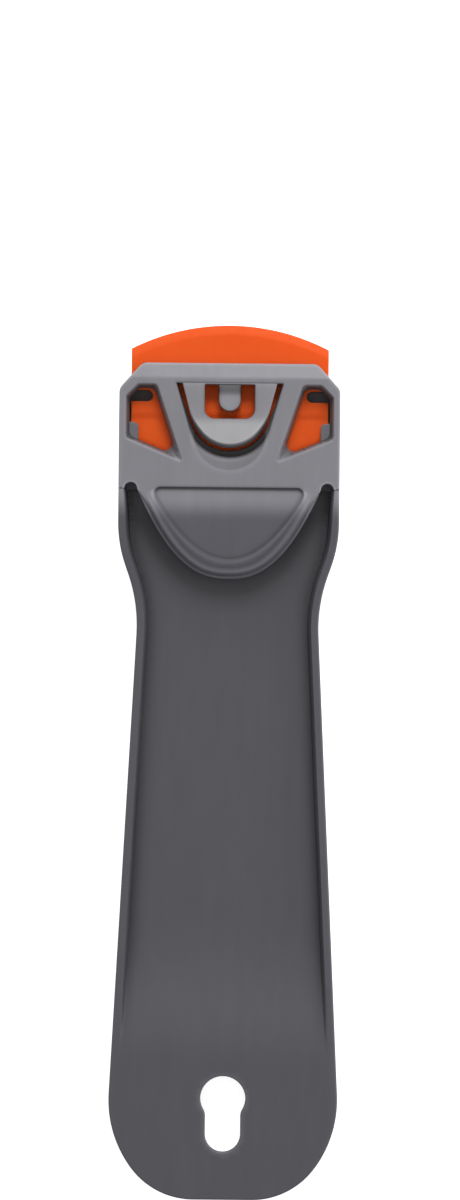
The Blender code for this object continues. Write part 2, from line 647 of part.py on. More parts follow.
def make_finger(material, hinge):
    """Latch finger: it bends down from its root and drops a peg into the blade's slot."""
    root_y = U_FRONT_Y - SEAM
    end_y = behind(FINGER_END_BACK)
    centre = (0, end_y + FINGER_HALF_WIDTH)
    half = [(FINGER_HALF_WIDTH, root_y)] + arc(centre, FINGER_HALF_WIDTH, 0, -90)
    finger = new_mesh_object("latch_finger", prism(both_sides(half), 0, TOP), hinge.location, hinge)
    root_z, level = HEAD_HEIGHT - FINGER_ROOT_DROP, HEAD_HEIGHT - FINGER_DROP
    bend_y = root_y - FINGER_BEND_RUN
    side = [
        (root_y, root_z),
        (root_y, root_z - FINGER_THICKNESS),
        (bend_y, level - FINGER_THICKNESS),
        (end_y, level - FINGER_THICKNESS),
        (end_y, level),
        (bend_y, level),
    ]
    combine(finger, cutter("finger_side", side_prism(side, HEAD_HALF_WIDTH)), "INTERSECT")
    start = level - FINGER_THICKNESS / 2
    combine(finger, cutter("peg", side_prism(peg_profile(start), PEG_HALF_WIDTH)), "UNION")
    return finish(finger, material)


def make_blade(material):
    """Blade: one bevelled section carried across its bowed width, with slot and side notches."""
    steps = 4 * ARC_STEPS + 1
    body, edge, band = BLADE_THICKNESS / 2, BLADE_EDGE_THICKNESS / 2, BAND_THICKNESS / 2
    rings = []
    for i in range(steps + 1):
        x = BLADE_HALF_WIDTH * (2 * i / steps - 1)
        reach = BLADE_HALF_DEPTH - blade_bow(x)
        upper = [(-reach, edge), (BLADE_BEVEL - reach, body), (-BAND_HALF_DEPTH, body)]
        upper += [(-BAND_HALF_DEPTH, band)]
        upper += [(-y, z) for y, z in upper[::-1]]
        section = upper + [(y, -z) for y, z in upper[::-1]]
        rings.append([(x, BLADE_Y + y, BLADE_Z + z) for y, z in section])
    blade = new_mesh_object("blade", loft(rings), (0, BLADE_Y, BLADE_Z))
    low, high = BLADE_Z - band - OVERRUN, BLADE_Z + band + OVERRUN
    ends = SLOT_HALF_LENGTH - SLOT_HALF_WIDTH
    slot = arc((0, BLADE_Y + ends), SLOT_HALF_WIDTH, 0, 180)
    slot += arc((0, BLADE_Y - ends), SLOT_HALF_WIDTH, 180, 360)
    combine(blade, cutter("slot_cut", prism(slot, low, high)), "DIFFERENCE")
    for name, sign in (("left", -1), ("right", 1)):
        centre = BLADE_HALF_WIDTH - NOTCH_DEPTH + NOTCH_HALF_HEIGHT
        outer = BLADE_HALF_WIDTH + OVERRUN
        run = arc((centre, BLADE_Y), NOTCH_HALF_HEIGHT, 90, 270)
        run += [(outer, BLADE_Y - NOTCH_HALF_HEIGHT), (outer, BLADE_Y + NOTCH_HALF_HEIGHT)]
        shape = prism([(sign * x, y) for x, y in run], low, high)
        combine(blade, cutter(f"notch_{name}", shape), "DIFFERENCE")
    return finish(blade, material)


def main():
    for obj in list(bpy.data.objects):
        bpy.data.objects.remove(obj, do_unlink=True)
    handle_grey = plastic("dark_grey_plastic", (0.10, 0.10, 0.11), GREY_ROUGHNESS)
    cover_grey = plastic("grey_plastic", (0.19, 0.19, 0.195), GREY_ROUGHNESS)
    tongue_grey = plastic("tongue_plastic", (0.22, 0.22, 0.225), GREY_ROUGHNESS)
    finger_grey = plastic("finger_plastic", (0.20, 0.20, 0.205), GREY_ROUGHNESS)
    blade_orange = plastic("orange_plastic", (1.0, 0.13, 0.02), BLADE_ROUGHNESS)
    hinge = bpy.data.objects.new("tongue_hinge", None)
    hinge.location = (0, HINGE_Y, HINGE_Z)
    bpy.context.collection.objects.link(hinge)
    make_handle(handle_grey)
    make_cover(cover_grey)
    make_tongue(tongue_grey, hinge)
    make_finger(finger_grey, hinge)
    make_blade(blade_orange)


main()
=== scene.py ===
"""Hand scraper, dressed: a moulded handle, a windowed head, its latch and a bowed plastic blade.

Every moulding is two heights over one plan.  The plan is a triangle net that follows the
outline, the holes and the lines where a wall or a rounded edge runs.  The heights are
functions of x and y, worked out for the whole net at once from each point's depth inside
those lines.  Upright walls close the two surfaces round the outline and the holes.
"""

import json
import math

import bpy
import numpy as np
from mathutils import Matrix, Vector
from mathutils.geometry import delaunay_2d_cdt


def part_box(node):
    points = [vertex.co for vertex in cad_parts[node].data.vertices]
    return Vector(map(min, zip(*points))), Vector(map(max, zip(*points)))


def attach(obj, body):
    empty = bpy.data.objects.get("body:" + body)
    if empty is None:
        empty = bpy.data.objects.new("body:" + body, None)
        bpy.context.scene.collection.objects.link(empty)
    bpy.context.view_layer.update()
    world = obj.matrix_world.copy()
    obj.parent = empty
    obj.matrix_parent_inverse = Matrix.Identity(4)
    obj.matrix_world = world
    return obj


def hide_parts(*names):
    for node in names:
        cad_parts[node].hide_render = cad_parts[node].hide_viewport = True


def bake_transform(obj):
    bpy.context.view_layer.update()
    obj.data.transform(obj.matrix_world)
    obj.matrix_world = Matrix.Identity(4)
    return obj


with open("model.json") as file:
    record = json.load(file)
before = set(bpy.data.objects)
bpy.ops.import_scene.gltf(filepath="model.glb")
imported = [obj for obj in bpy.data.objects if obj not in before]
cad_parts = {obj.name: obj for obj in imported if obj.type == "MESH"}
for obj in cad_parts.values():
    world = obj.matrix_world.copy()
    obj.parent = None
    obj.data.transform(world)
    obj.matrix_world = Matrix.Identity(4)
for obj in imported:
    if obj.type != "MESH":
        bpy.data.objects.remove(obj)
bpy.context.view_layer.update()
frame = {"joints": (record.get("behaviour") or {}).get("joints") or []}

bl_info = {
    "name": "Hand scraper",
    "version": (1, 0, 0),
    "blender": (4, 5, 0),
    "location": "View3D > Sidebar > Scraper",
    "description": "Builds a moulded hand scraper with a sprung latch and a plastic blade",
    "category": "Add Mesh",
}

MM = 0.001

# Places that every piece takes from the frame
HANDLE_LOW, HANDLE_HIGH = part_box("handle")
COVER_LOW, COVER_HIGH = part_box("head_cover")
TONGUE_LOW, TONGUE_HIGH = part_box("release_tongue")
FINGER_LOW, FINGER_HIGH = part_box("latch_finger")
BLADE_LOW, BLADE_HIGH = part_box("blade")
FRONT_Y = HANDLE_HIGH.y
REAR_Y = HANDLE_LOW.y
END_RADIUS = HANDLE_HIGH.x
HEAD_HALF = COVER_HIGH.x
HEAD_TOP = COVER_HIGH.z
BLADE_HALF = BLADE_HIGH.x
BLADE_Y = (BLADE_LOW.y + BLADE_HIGH.y) / 2
BLADE_Z = (BLADE_LOW.z + BLADE_HIGH.z) / 2
LOBE_END_BACK = FRONT_Y - COVER_LOW.y
TONGUE_END_BACK = FRONT_Y - TONGUE_LOW.y
FINGER_HALF = FINGER_HIGH.x
FINGER_END_BACK = FRONT_Y - FINGER_LOW.y

# Fits between pieces, and the heights of the cover's seat and the lower jaw
SEAM = 0.06 * MM
POCKET_PLAY = 0.3 * MM
POCKET_AHEAD = 2.0 * MM
SKIRT_GAP = 0.05 * MM
PEG_GAP = 0.35 * MM
SEAT = 4.5 * MM
JAW = 2.4 * MM

# Fine sizes of the holder.  A ROUND is a radius and a RUN is how far a wall leans.  A start, an
# end or a back is a distance behind the head's front edge, but the run-out, where the tray's
# floor rises to the rims, starts that far ahead of the rear end.  The tray's wall starts a LEAD
# before its line, as a share of its run.
CORNER_SIDE = 4.5 * MM
CORNER_BACK = 5.0 * MM
CORNER_ROUND = 2.0 * MM
SHOULDER_BACK = 35.0 * MM
SHOULDER_ROUND = 25.0 * MM
NECK_ROUND = 30.0 * MM
END_CORNER_SHARE = 0.68
END_DEPTH_SHARE = 0.873
EDGE_ROUND = 0.45 * MM
FINE_ROUND = 0.15 * MM
LIP_BACK = 2.9 * MM
LIP_DROP = 1.2 * MM
WALL_RUN = 0.55 * MM
WALL_LEAD = 1 / 3
TIP_WIDTH = 2.5 * MM
TIP_LAND = 1.1 * MM
TIP_END_BACK = 31.0 * MM
RIMS_LEVEL_FROM = 52.0 * MM
RUNOUT_START = 57.0 * MM
RUNOUT_LENGTH = 30.0 * MM
RUNOUT_DELAY = 1.4
CORE_WALL = 2.7 * MM
CORE_RUN = 0.5 * MM
KEYHOLE_FILLET = 2.5 * MM
KEYHOLE_ROUND = 0.3 * MM

# Fine sizes of the cover: its lobe, badge place, windows and opening
LOBE_POWER = 2.4
LOBE_ROUND = 0.9 * MM
LOBE_STEP = 0.5 * MM
LOBE_FADE = 4.0 * MM
SKIRT = 1.6 * MM
BADGE_AHEAD = 0.3 * MM
BADGE_SIDE = 2.4 * MM
BADGE_REAR = 3.7 * MM
BADGE_SINK = 0.4 * MM
BADGE_CORNER = 1.2 * MM
BADGE_ROUND = 0.12 * MM
WINDOW_SIDE = 1.3 * MM
WINDOW_CORNER = 2.3 * MM
WINDOW_ROUND = 0.9 * MM
WINDOW_EDGE = 0.3 * MM
FOOT_ROUND = 1.4 * MM
DRAFT_RUN = 0.65 * MM
DRAFT_FALL = 1.9 * MM
LEDGE_WIDTH = 2.4 * MM
LEDGE_LENGTH = 3.1 * MM
LEDGE_THICKNESS = 0.8 * MM
OPENING_EDGE = 1.3 * MM
OPENING_EDGE_START = 12.0 * MM
OPENING_EDGE_WIDENING = 4.0 * MM
STOP_LEDGE = 1.05 * MM
STOP_THICKNESS = 0.6 * MM
DISH_RADIUS = 40.0 * MM
DISH_DEPTH = 0.63 * MM
DISH_BACK = 13.7 * MM

# Fine sizes of the tongue, whose rear edge leans out to a foot, of the finger and the blade
SIDE_SLOT = 1.1 * MM
ARC_INSET = 0.55 * MM
TONGUE_DIP = 0.3 * MM
TONGUE_FOOT = 0.65 * MM
FOOT_FALL = 1.2 * MM
FOOT_START = 9.0 * MM
FOOT_WIDENING = 4.0 * MM
LATCH_EDGE = 0.22 * MM
HINGE_THICKNESS = 1.0 * MM
U_FRONT = 4.2 * MM
U_REAR = 1.4 * MM
U_CORNER = 1.9 * MM
FINGER_THICKNESS = 1.2 * MM
FINGER_DROP = 1.0 * MM
ROOT_DROP = 0.2 * MM
BEND_RUN = 2.0 * MM
PEG_HALF = 0.55 * MM
PEG_LENGTH = 2.6 * MM
BLADE_EDGE = 0.3 * MM
BEVEL = 1.7 * MM
BAND_HALF = 3.05 * MM
BAND_LEAN = 1.6 * MM

# How finely the nets follow the shapes
ARC_STEP = 3.0
OUTLINE_STEP = 0.5 * MM
LINE_STEP = 0.4 * MM
FINE_STEP = 0.2 * MM
GRID = 0.9 * MM
FINE_GRID = 0.45 * MM
CURVE_STRETCH = 2.6
NEAR_EDGE = 0.01 * MM
MERGE = 0.001 * MM
BLOCK = 2000
ROUND_ANGLES = np.radians((20, 40, 60, 75, 90))
WALL_ROWS = (0, 0.06, 0.5, 0.94, 1)
SHARP_ANGLE = math.radians(38)

# Where guide lines run, each in widths of what it follows
WALL_LINES = np.arange(-2, 7) / 6
STEP_LINES = (0, 2)
CORE_LINES = (0, 0.25, 0.5, 0.75, 1)
SEAM_LINES = (-15, -6, -2, 0, 2)
LIP_LINES = (-2, 0, 2)
LOBE_LINES = (0.3, 0.95, 1)
LAND_LINES = (0.6, 2.2, 3.2)
DISH_LINES = (-1, 0, 1, 2)
BADGE_LINES = (-6, -4, -2.4, -1, -0.6, -0.2, 0.2, 0.6, 1, 2, 3.5)
BAND_LINES = (0, 0.5, 1)
BEVEL_LINES = (0.8, 1, 1.2)

# Plastics: pattern sizes, and how strongly they show.  Real spark grain is about 0.03 mm
# across and would be lost, so it is drawn as coarse as the picture can show.
CLOUD_SIZE = 12 * MM
FLOW_WIDTH = 2.2 * MM
FLOW_STRETCH = 0.14
GRAIN_SIZE = 0.25 * MM
RANGE = ("From Min", "From Max", "To Min", "To Max")
STREAK_SPAN = (0.1, 0.45)
CLOUD_SPAN = (0.3, 0.7)
SATIN_BELOW = 0.04
SATIN_ABOVE = 0.05
GREY_MOTTLE = 0.06
GREY_ROUGHNESS = 0.55
GREY_GRAIN = 0.004 * MM
ORANGE_MOTTLE = 0.03
ORANGE_ROUGHNESS = 0.5
ORANGE_GRAIN = 0.002 * MM
ORANGE_GLOSS = 0.15
ORANGE_SOAK = 0.6
ORANGE_REACH = 1.3 * MM
ORANGE_SPREAD = (1, 0.3, 0.1)

# Where the greys change, behind the front: the head's paler grey, a painted sheen, to the handle's, and
# the tongue's to its end's paler grey, painted light
SHEEN_UNTIL = 25.0 * MM
DARK_FROM = 30.5 * MM
TONGUE_UNTIL = 10.0 * MM
LIT_END_FROM = 12.2 * MM

# How much lighter edges, rims and rounds are painted as highlights, and how much darker corners, steep
# walls, hollows and hidden faces are painted as shade
EDGE_FADE = 0.35 * MM
OUTER_HIGHLIGHT = 0.4
INNER_HIGHLIGHT = 0.1
LINE_HIGHLIGHT = 0.85
LAND_SHADE = 0.22
LAND_WIDTH = 0.4 * MM
CORNER_SHADE = 0.72
CORNER_REACH = 1.3 * MM
CORNER_POWER = 1.5
LOBE_SHADE = 0.5
LOBE_REACH = 6.0 * MM
WALL_SHADE = 0.7
INNER_WALL_SHADE = 0.4
WALL_REACH = 0.2 * MM
OPENING_REACH = OPENING_EDGE / 2.5
STEEP_FROM = 0.1
STEEP_RUN = 1 / 3
LEDGE_SHADE = 0.4
HIDDEN_SHADE = 0.4
GROOVE_SHADE = 0.8
GROOVE_WIDTH = 0.4 * MM
BADGE_TONE = 0.3
BADGE_FADE = 4.0 * MM
DISH_SHADE = 0.28
DISH_HIGHLIGHT = 0.12
DISH_EDGE = 0.3 * MM
FINGER_SHADE = 0.35

# Stage
VIEW_MIDDLE = 31.4 * MM
VIEW_SIDE = 0.42 * MM
KEY_PLACE = (0.08, 1.0, 0.66)
KEY_SIZE = 0.45
FILL_PLACE = (0.6, 0.0, 0.15)
FILL_SIZE = 0.3
TABLE_RADIUS = 2.0
TABLE_RISE = 0.5
TABLE_GAP = 0.05 * MM
TABLE_FLAT = 0.4
TABLE_RINGS = 48
TABLE_SPOKES = 96
TABLE_ROUGHNESS = 0.6
TABLE_GLOW = 0.85


def linear(code):
    """An sRGB hex colour as linear red, green and blue."""
    parts = [int(code[i : i + 2], 16) / 255 for i in (1, 3, 5)]
    return tuple(c / 12.92 if c <= 0.04045 else ((c + 0.055) / 1.055) ** 2.4 for c in parts)


def number(name, description, default, **kind):
    """A number that a user can change, with its unit or subtype."""
    return bpy.props.FloatProperty(name=name, description=description, default=default, **kind)


def length(name, description, millimetres):
    """A size that a user can change, with its default in millimetres."""
    return number(name, description, millimetres * MM, unit="LENGTH", precision=5)


def colour(name, description, code):
    """A colour that a user can change, with its default as sRGB hex."""
    return bpy.props.FloatVectorProperty(
        name=name, description=description, default=linear(code), subtype="COLOR", min=0, max=1
    )


class ScraperOutline(bpy.types.PropertyGroup):
    """The holder in plan, and its heights."""

    neck_back: length("Neck", "Where the waist is narrowest, behind the front", 46.5)
    waist_depth: length("Waist", "How far the neck lies inside the head's side", 4.0)
    handle_height: length("Handle height", "Height of the rims along the handle", 5.2)


class ScraperTray(bpy.types.PropertyGroup):
    """The tray between the rims, the hollow beneath its rear and the keyhole."""

    rim_width: length("Rim", "Width of the rims", 1.6)
    web: length("Web", "Thickness of the tray's floor", 2.2)
    key_to_end: length("Keyhole place", "From the keyhole's round part to the rear end", 19.55)
    key_radius: length("Keyhole radius", "Radius of the keyhole's round part", 4.35)
    key_slot_half: length("Keyhole slot", "Half the width of the keyhole's slot", 3.4)
    key_slot_length: length("Keyhole length", "From the round part's centre to the slot end's", 6.95)


class ScraperCover(bpy.types.PropertyGroup):
    """The head cover: lobe, badge place, windows and finger dish."""

    line_back: length("Lobe line", "Where the lobe starts, behind the front", 24.35)
    window_front: length("Window front", "Where the windows start, behind the front", 4.2)
    window_inner: length("Window inner corner", "Inner front corner, from the middle", 14.1)
    window_tip: length("Window tip", "Inner rear tip, from the middle", 9.09)
    window_tip_back: length("Window tip place", "Inner rear tip, behind the front", 19.1)
    window_rear_back: length("Window rear", "Outer rear corner, behind the front", 14.6)
    opening_root: length("Opening root", "Half the tongue opening's width at the root", 10.25)
    opening_arc: length("Opening arc", "Radius of the opening's round end", 8.19)
    opening_end: length("Opening end", "Rear of the opening, behind the front", 17.9)
    root_back: length("Root", "Where the tongue leaves the cover, behind the front", 3.9)


class ScraperLatch(bpy.types.PropertyGroup):
    """The release tongue and the latch finger in its U-shaped opening."""

    thickness: length("Tongue thickness", "Thickness of the tongue", 1.6)
    hinge_run: length("Hinge run", "Length over which the root bends", 1.9)
    u_leg: length("U leg", "Width of the U's side legs", 2.65)


class ScraperBlade(bpy.types.PropertyGroup):
    """The double-edged blade."""

    bow: length("Bow", "How far each edge falls back from middle to side", 4.6)
    thickness: length("Thickness", "Thickness of the blade's body", 1.2)
    slot_half_width: length("Slot width", "Half the width of the centre slot", 0.875)
    slot_half_length: length("Slot length", "Half the length of the centre slot", 2.9)
    notch_depth: length("Notch depth", "Depth of the side notches", 4.2)
    notch_half: length("Notch height", "Half the height of the side notches", 1.1)


class ScraperFinish(bpy.types.PropertyGroup):
    """Colours of the mouldings."""

    handle_colour: colour("Handle", "Dark grey of the handle and the lobe", "#4F4E54")
    # The head's paler grey is a painted sheen on the same plastic as the handle
    head_colour: colour("Head", "Paler grey of the head", "#88878D")
    tongue_colour: colour("Tongue", "Grey of the tongue's root and the finger", "#929196")
    # The tongue end's paler grey is painted light
    tongue_end_colour: colour("Tongue end", "Paler grey of the tongue's free end", "#AFAEB0")
    blade_colour: colour("Blade", "Orange of the blade", "#FF6422")
    floor_colour: colour("Floor", "White of the table", "#F4F4F4")


class ScraperStage(bpy.types.PropertyGroup):
    """Camera, lamps and table."""

    view_height: length("View height", "Height of the strip that the camera takes in", 231.6)
    lens: number("Lens", "Focal length in millimetres", 135)
    tilt: number("Tilt", "Turn of the tool in the picture", 0.0102, subtype="ANGLE")
    sky: number("Sky", "Strength of the white surround", 0.34)
    key: number("Key", "Power of the soft lamp past the blade", 9.8, unit="POWER")
    fill: number("Fill", "Power of the soft lamp beside the handle", 1.0, unit="POWER")


def unit(vectors):
    """The vectors, each divided by its length."""
    return vectors / np.linalg.norm(vectors, axis=-1, keepdims=True)


def arc(centre, radius, start, end):
    """Points on a circle from one angle to another, in degrees: centre + radius (cos, sin)."""
    count = max(3, math.ceil(abs(end - start) / ARC_STEP) + 1)
    angles = np.radians(np.linspace(start, end, count))
    return np.asarray(centre) + radius * np.column_stack((np.cos(angles), np.sin(angles)))


def fillets(corners, radii):
    """A run of corners with an arc in each inner one, which touches both its sides."""
    corners = np.asarray(corners, float)
    run = [corners[:1]]
    for before, corner, after, radius in zip(corners, corners[1:], corners[2:], radii):
        arms = unit(before - corner), unit(after - corner)
        half = math.acos(np.clip(arms[0] @ arms[1], -1, 1)) / 2
        centre = corner + unit(arms[0] + arms[1]) * radius / math.sin(half)
        spokes = [corner + arm * radius / math.tan(half) - centre for arm in arms]
        start, end = (math.degrees(math.atan2(y, x)) for x, y in spokes)
        run.append(arc(centre, radius, start, start + (end - start + 180) % 360 - 180))
    return np.vstack(run + [corners[-1:]])


def closed_fillets(corners, radii):
    """A closed polygon with an arc in every corner."""
    return fillets([corners[-1], *corners, corners[0]], radii)[1:-1]


def both_sides(half):
    """A counter-clockwise outline from its right half, front to rear; middle points stay single."""
    beside = half[half[:, 0] > MERGE]
    return np.vstack((beside * (-1, 1), half[::-1]))


def even(loop, step):
    """The closed outline again, with its points a step apart along it."""
    ring = np.vstack((loop, loop[:1]))
    along = np.concatenate(([0], np.cumsum(np.linalg.norm(np.diff(ring, axis=0), axis=1))))
    places = np.linspace(0, along[-1], round(along[-1] / step), endpoint=False)
    return np.column_stack([np.interp(places, along, ring[:, axis]) for axis in (0, 1)])


def moved_in(corners, distance):
    """The polygon with its sides moved in: a corner moves by the distance over its half angle's sine."""
    corners = np.asarray(corners, float)
    before, after = (unit(np.roll(corners, shift, 0) - corners) for shift in (1, -1))
    sine = np.sqrt((1 - (before * after).sum(1)) / 2)
    turn = np.sign(after[:, 0] * before[:, 1] - after[:, 1] * before[:, 0])
    return corners + unit(before + after) * (distance * turn / sine)[:, None]


def inset(loop, distance):
    """The outline moved inwards along its normals, which are its tangents turned left."""
    tangent = unit(np.roll(loop, -1, 0) - np.roll(loop, 1, 0))
    return loop + np.column_stack((-tangent[:, 1], tangent[:, 0])) * distance


def crossing(y, half):
    """A straight guide line across the tool."""
    x = np.arange(-half, half, LINE_STEP)
    return np.column_stack((x, np.full(len(x), y)))


def blocks(points):
    """Slices of the points, each small enough to meet a whole outline at once."""
    return [slice(start, start + BLOCK) for start in range(0, len(points), BLOCK)]


def inside(points, loop):
    """Whether each point lies inside the outline: a ray from it crosses an odd number of sides."""
    ends = np.roll(loop, -1, 0)
    slope = (ends[:, 0] - loop[:, 0]) / np.where(ends[:, 1] == loop[:, 1], 1, ends[:, 1] - loop[:, 1])
    odd = np.zeros(len(points), bool)
    for block in blocks(points):
        x, y = points[block].T[:, :, None]
        spans = (loop[:, 1] > y) != (ends[:, 1] > y)
        odd[block] = (spans & (x < loop[:, 0] + slope * (y - loop[:, 1]))).sum(1) % 2
    return odd


def depth(points, loop):
    """How deep each point lies inside the outline: the least distance to its sides, negative outside."""
    sides = np.roll(loop, -1, 0) - loop
    squares = (sides**2).sum(1)
    least = np.empty(len(points))
    for block in blocks(points):
        x, y = points[block].T[:, :, None] - loop.T[:, None]
        along = np.clip((x * sides[:, 0] + y * sides[:, 1]) / squares, 0, 1)
        least[block] = np.sqrt(((x - along * sides[:, 0]) ** 2 + (y - along * sides[:, 1]) ** 2).min(1))
    return np.where(inside(points, loop), least, -least)


def ease(t):
    """A smooth step from 0 to 1: half a cosine wave between t = 0 and t = 1."""
    return (1 - np.cos(math.pi * np.clip(t, 0, 1))) / 2


def round_drop(distance, radius):
    """How far a quarter round lies under its corner's height at a distance from the edge."""
    inner = np.clip(radius - distance, 0, radius)
    return radius - np.sqrt(np.maximum(radius**2 - inner**2, 0))


def rings(loop, width, shares, start=0):
    """Guide lines that follow the outline, each a share of a width inside it or inside a start."""
    return [inset(loop, start + width * share) for share in shares]


def round_lines(loop, radius, sign=1):
    """Guide lines at set angles of a quarter round that starts on the outline."""
    return rings(loop, sign * radius, 1 - np.cos(ROUND_ANGLES))


def net(outline, holes, guides, lines, spacing):
    """The plan as points and triangles: all lines and a grid between, joined by Delaunay's rule."""
    loops = [outline, *holes, *guides]
    ticks = [np.arange(a + spacing / 2, b, spacing) for a, b in zip(outline.min(0), outline.max(0))]
    grid = np.stack(np.meshgrid(*ticks), -1).reshape(-1, 2)
    grid = grid[inside(grid, outline)]
    for loop in loops:
        grid = grid[np.abs(depth(grid, loop)) > spacing / 2]
    edges = []
    start = 0
    for run in loops + lines:
        here = np.arange(start, start + len(run))
        edges.append(np.column_stack((here, np.roll(here, -1)))[: len(run) - (len(edges) >= len(loops))])
        start += len(run)
    points = np.vstack([*loops, *lines, grid])
    found = delaunay_2d_cdt(points.tolist(), np.vstack(edges).tolist(), [], 0, MERGE)
    points, triangles = np.array(found[0]), np.array(found[2])
    middles = points[triangles].mean(1)
    keep = inside(middles, outline)
    for hole in holes:
        keep &= ~inside(middles, hole)
    return points, triangles[keep]


def solid(name, material, plan, bottom, top, highlight, tone=1.0, under=1.0):
    """A closed mesh between two heights over one plan, with upright walls in rows under its open edges.

    Its top carries the painted highlight and tone values, its underside has one even tone, painted
    darker where it is hidden, and no painted highlight.
    """
    points, triangles = plan
    count = len(points)
    sides = np.vstack([triangles[:, pair] for pair in ((0, 1), (1, 2), (2, 0))])
    keys = sides.min(1) * count + sides.max(1)
    _, first, times = np.unique(keys, return_index=True, return_counts=True)
    edges = sides[first[times == 1]]
    rim, spots = np.unique(edges, return_inverse=True)
    spots = spots.reshape(-1, 2)
    rows = [rim]
    layers = [np.column_stack((points, top)), np.column_stack((points, bottom))]
    plain = 0 * highlight
    marks = [np.column_stack((highlight, plain + tone)), np.column_stack((plain, plain + under))]
    for row, fall in enumerate(WALL_ROWS[1:-1]):
        rows.append(2 * count + row * len(rim) + np.arange(len(rim)))
        layers.append(np.column_stack((points[rim], top[rim] + (bottom - top)[rim] * fall)))
        marks.append(marks[0][rim])
    rows.append(rim + count)
    walls = [
        np.column_stack((upper[spots[:, ::-1]], lower[spots])) for upper, lower in zip(rows, rows[1:])
    ]
    used = np.unique(triangles)
    vertices = np.vstack(layers)
    kept = np.concatenate((used, used + count, np.arange(2 * count, len(vertices))))
    place = np.zeros(len(vertices), int)
    place[kept] = np.arange(len(kept))
    caps = place[np.vstack((triangles, triangles[:, ::-1] + count))]
    mesh = bpy.data.meshes.new(name)
    mesh.from_pydata(vertices[kept].tolist(), [], caps.tolist() + place[np.vstack(walls)].tolist())
    for mark, values in zip(("painted_highlight", "tone"), np.vstack(marks)[kept].T):
        mesh.attributes.new(mark, "FLOAT", "POINT").data.foreach_set("value", values.copy())
    mesh.shade_smooth()
    mesh.set_sharp_from_angle(angle=SHARP_ANGLE)
    mesh.materials.append(material)
    piece = bpy.data.objects.new(mesh.name, mesh)
    bpy.context.scene.collection.objects.link(piece)
    return piece


def behind(distance):
    """The y of a place this far behind the head's front edge."""
    return FRONT_Y - distance


def holder_half(s):
    """The holder's right edge, front to rear: clipped corner, shoulder, waist and flattened end."""
    neck = np.array((HEAD_HALF - s.waist_depth, behind(s.neck_back)))
    centre = np.array((0, REAR_Y + END_RADIUS * END_DEPTH_SHARE))
    corner_radius = END_RADIUS * END_CORNER_SHARE
    across = END_RADIUS - corner_radius
    down = END_RADIUS * END_DEPTH_SHARE - corner_radius
    corner = np.array((math.sqrt(across**2 - down**2), centre[1] - down))
    join = math.degrees(math.atan2(-down, corner[0]))
    away = neck - centre
    touch = math.degrees(math.atan2(away[1], away[0]) - math.acos(END_RADIUS / np.linalg.norm(away)))
    rear = np.vstack((arc(centre, END_RADIUS, touch, join), arc(corner, corner_radius, join, -90)[1:]))
    corners = [
        (0, FRONT_Y),
        (HEAD_HALF - CORNER_SIDE, FRONT_Y),
        (HEAD_HALF, behind(CORNER_BACK)),
        (HEAD_HALF, behind(SHOULDER_BACK)),
        neck,
        rear[0],
    ]
    front = fillets(corners, (CORNER_ROUND, CORNER_ROUND, SHOULDER_ROUND, NECK_ROUND))
    return np.vstack((front[:-1], rear))


def rim_height(y, s, line_back):
    """The holder's top: the head's height, then half a cosine wave down to the handle's."""
    fall = (behind(line_back) - y) / (RIMS_LEVEL_FROM - line_back)
    return HEAD_TOP + (s.handle_height - HEAD_TOP) * ease(fall)


def floor_height(y, s, t):
    """The tray's floor: level, then a cosine rise to the rims' height, its start delayed by a power."""
    rise = np.clip((REAR_Y + RUNOUT_START - y) / RUNOUT_LENGTH, 0, 1)
    return t.web + (s.handle_height - t.web) * ease(rise**RUNOUT_DELAY)


def tray_outline(s, t, c):
    """The tray's upper edge: the rims' inner line, and a round tip on each side of the lobe."""
    line = inset(even(both_sides(holder_half(s)), LINE_STEP), t.rim_width)
    right = line[(line[:, 0] > -MERGE) & (line[:, 1] < behind(TIP_END_BACK))]
    right = right[np.argsort(-right[:, 1])]
    radius = TIP_WIDTH / 2
    tip = arc((HEAD_HALF - TIP_LAND - radius, behind(c.line_back)), radius, 90, 0)
    return even(both_sides(np.vstack((tip, right, [(0, right[-1, 1])]))), LINE_STEP)


def keyhole_outline(t):
    """A round hole with a round-ended slot behind it, their meeting corners filleted."""
    centre = REAR_Y + t.key_to_end
    fillet_x = t.key_slot_half + KEYHOLE_FILLET
    fillet_y = math.sqrt((t.key_radius + KEYHOLE_FILLET) ** 2 - fillet_x**2)
    join = math.degrees(math.atan2(-fillet_y, fillet_x))
    half = np.vstack(
        (
            arc((0, centre), t.key_radius, 90, join),
            arc((fillet_x, centre - fillet_y), KEYHOLE_FILLET, 180 + join, 180)[1:],
            arc((0, centre - t.key_slot_length), t.key_slot_half, 0, -90),
        )
    )
    return even(both_sides(half), FINE_STEP)


def blade_fall(x, blade):
    """How far the blade's edge falls back from its middle at x, on one circle."""
    radius = (BLADE_HALF**2 + blade.bow**2) / (2 * blade.bow)
    return radius - np.sqrt(radius**2 - np.clip(np.abs(x), 0, BLADE_HALF) ** 2)


def pocket_outline(blade):
    """The blade's pocket: straight sides, a bowed rear wall, and open past the front edge."""
    side = BLADE_HALF + POCKET_PLAY
    x = np.linspace(-side, side, round(2 * side / LINE_STEP))
    rear = np.column_stack((x, BLADE_LOW.y - POCKET_PLAY + blade_fall(x, blade)))
    front_y = FRONT_Y + POCKET_AHEAD
    return even(np.vstack((rear, [(side, front_y), (-side, front_y)])), LINE_STEP)


def lobe_curve(line_back, half_width, deep, power):
    """The half-moon curve of lobe and badge, right to left: y falls with 1 minus a power of x."""
    x = np.linspace(1, -1, round(CURVE_STRETCH * half_width / LINE_STEP))
    return np.column_stack((x * half_width, behind(line_back + deep * (1 - np.abs(x) ** power))))


def bell(distance, width):
    """A bell curve: the exponential of minus the square of distance over width."""
    return np.exp(-((distance / width) ** 2))


def painted_highlight(*edges):
    """How much lighter the painted highlight makes the surface: the most of each edge's strength times
    its bell curve.
    """
    return np.max([strength * bell(distance, EDGE_FADE) for distance, strength in edges], axis=0)


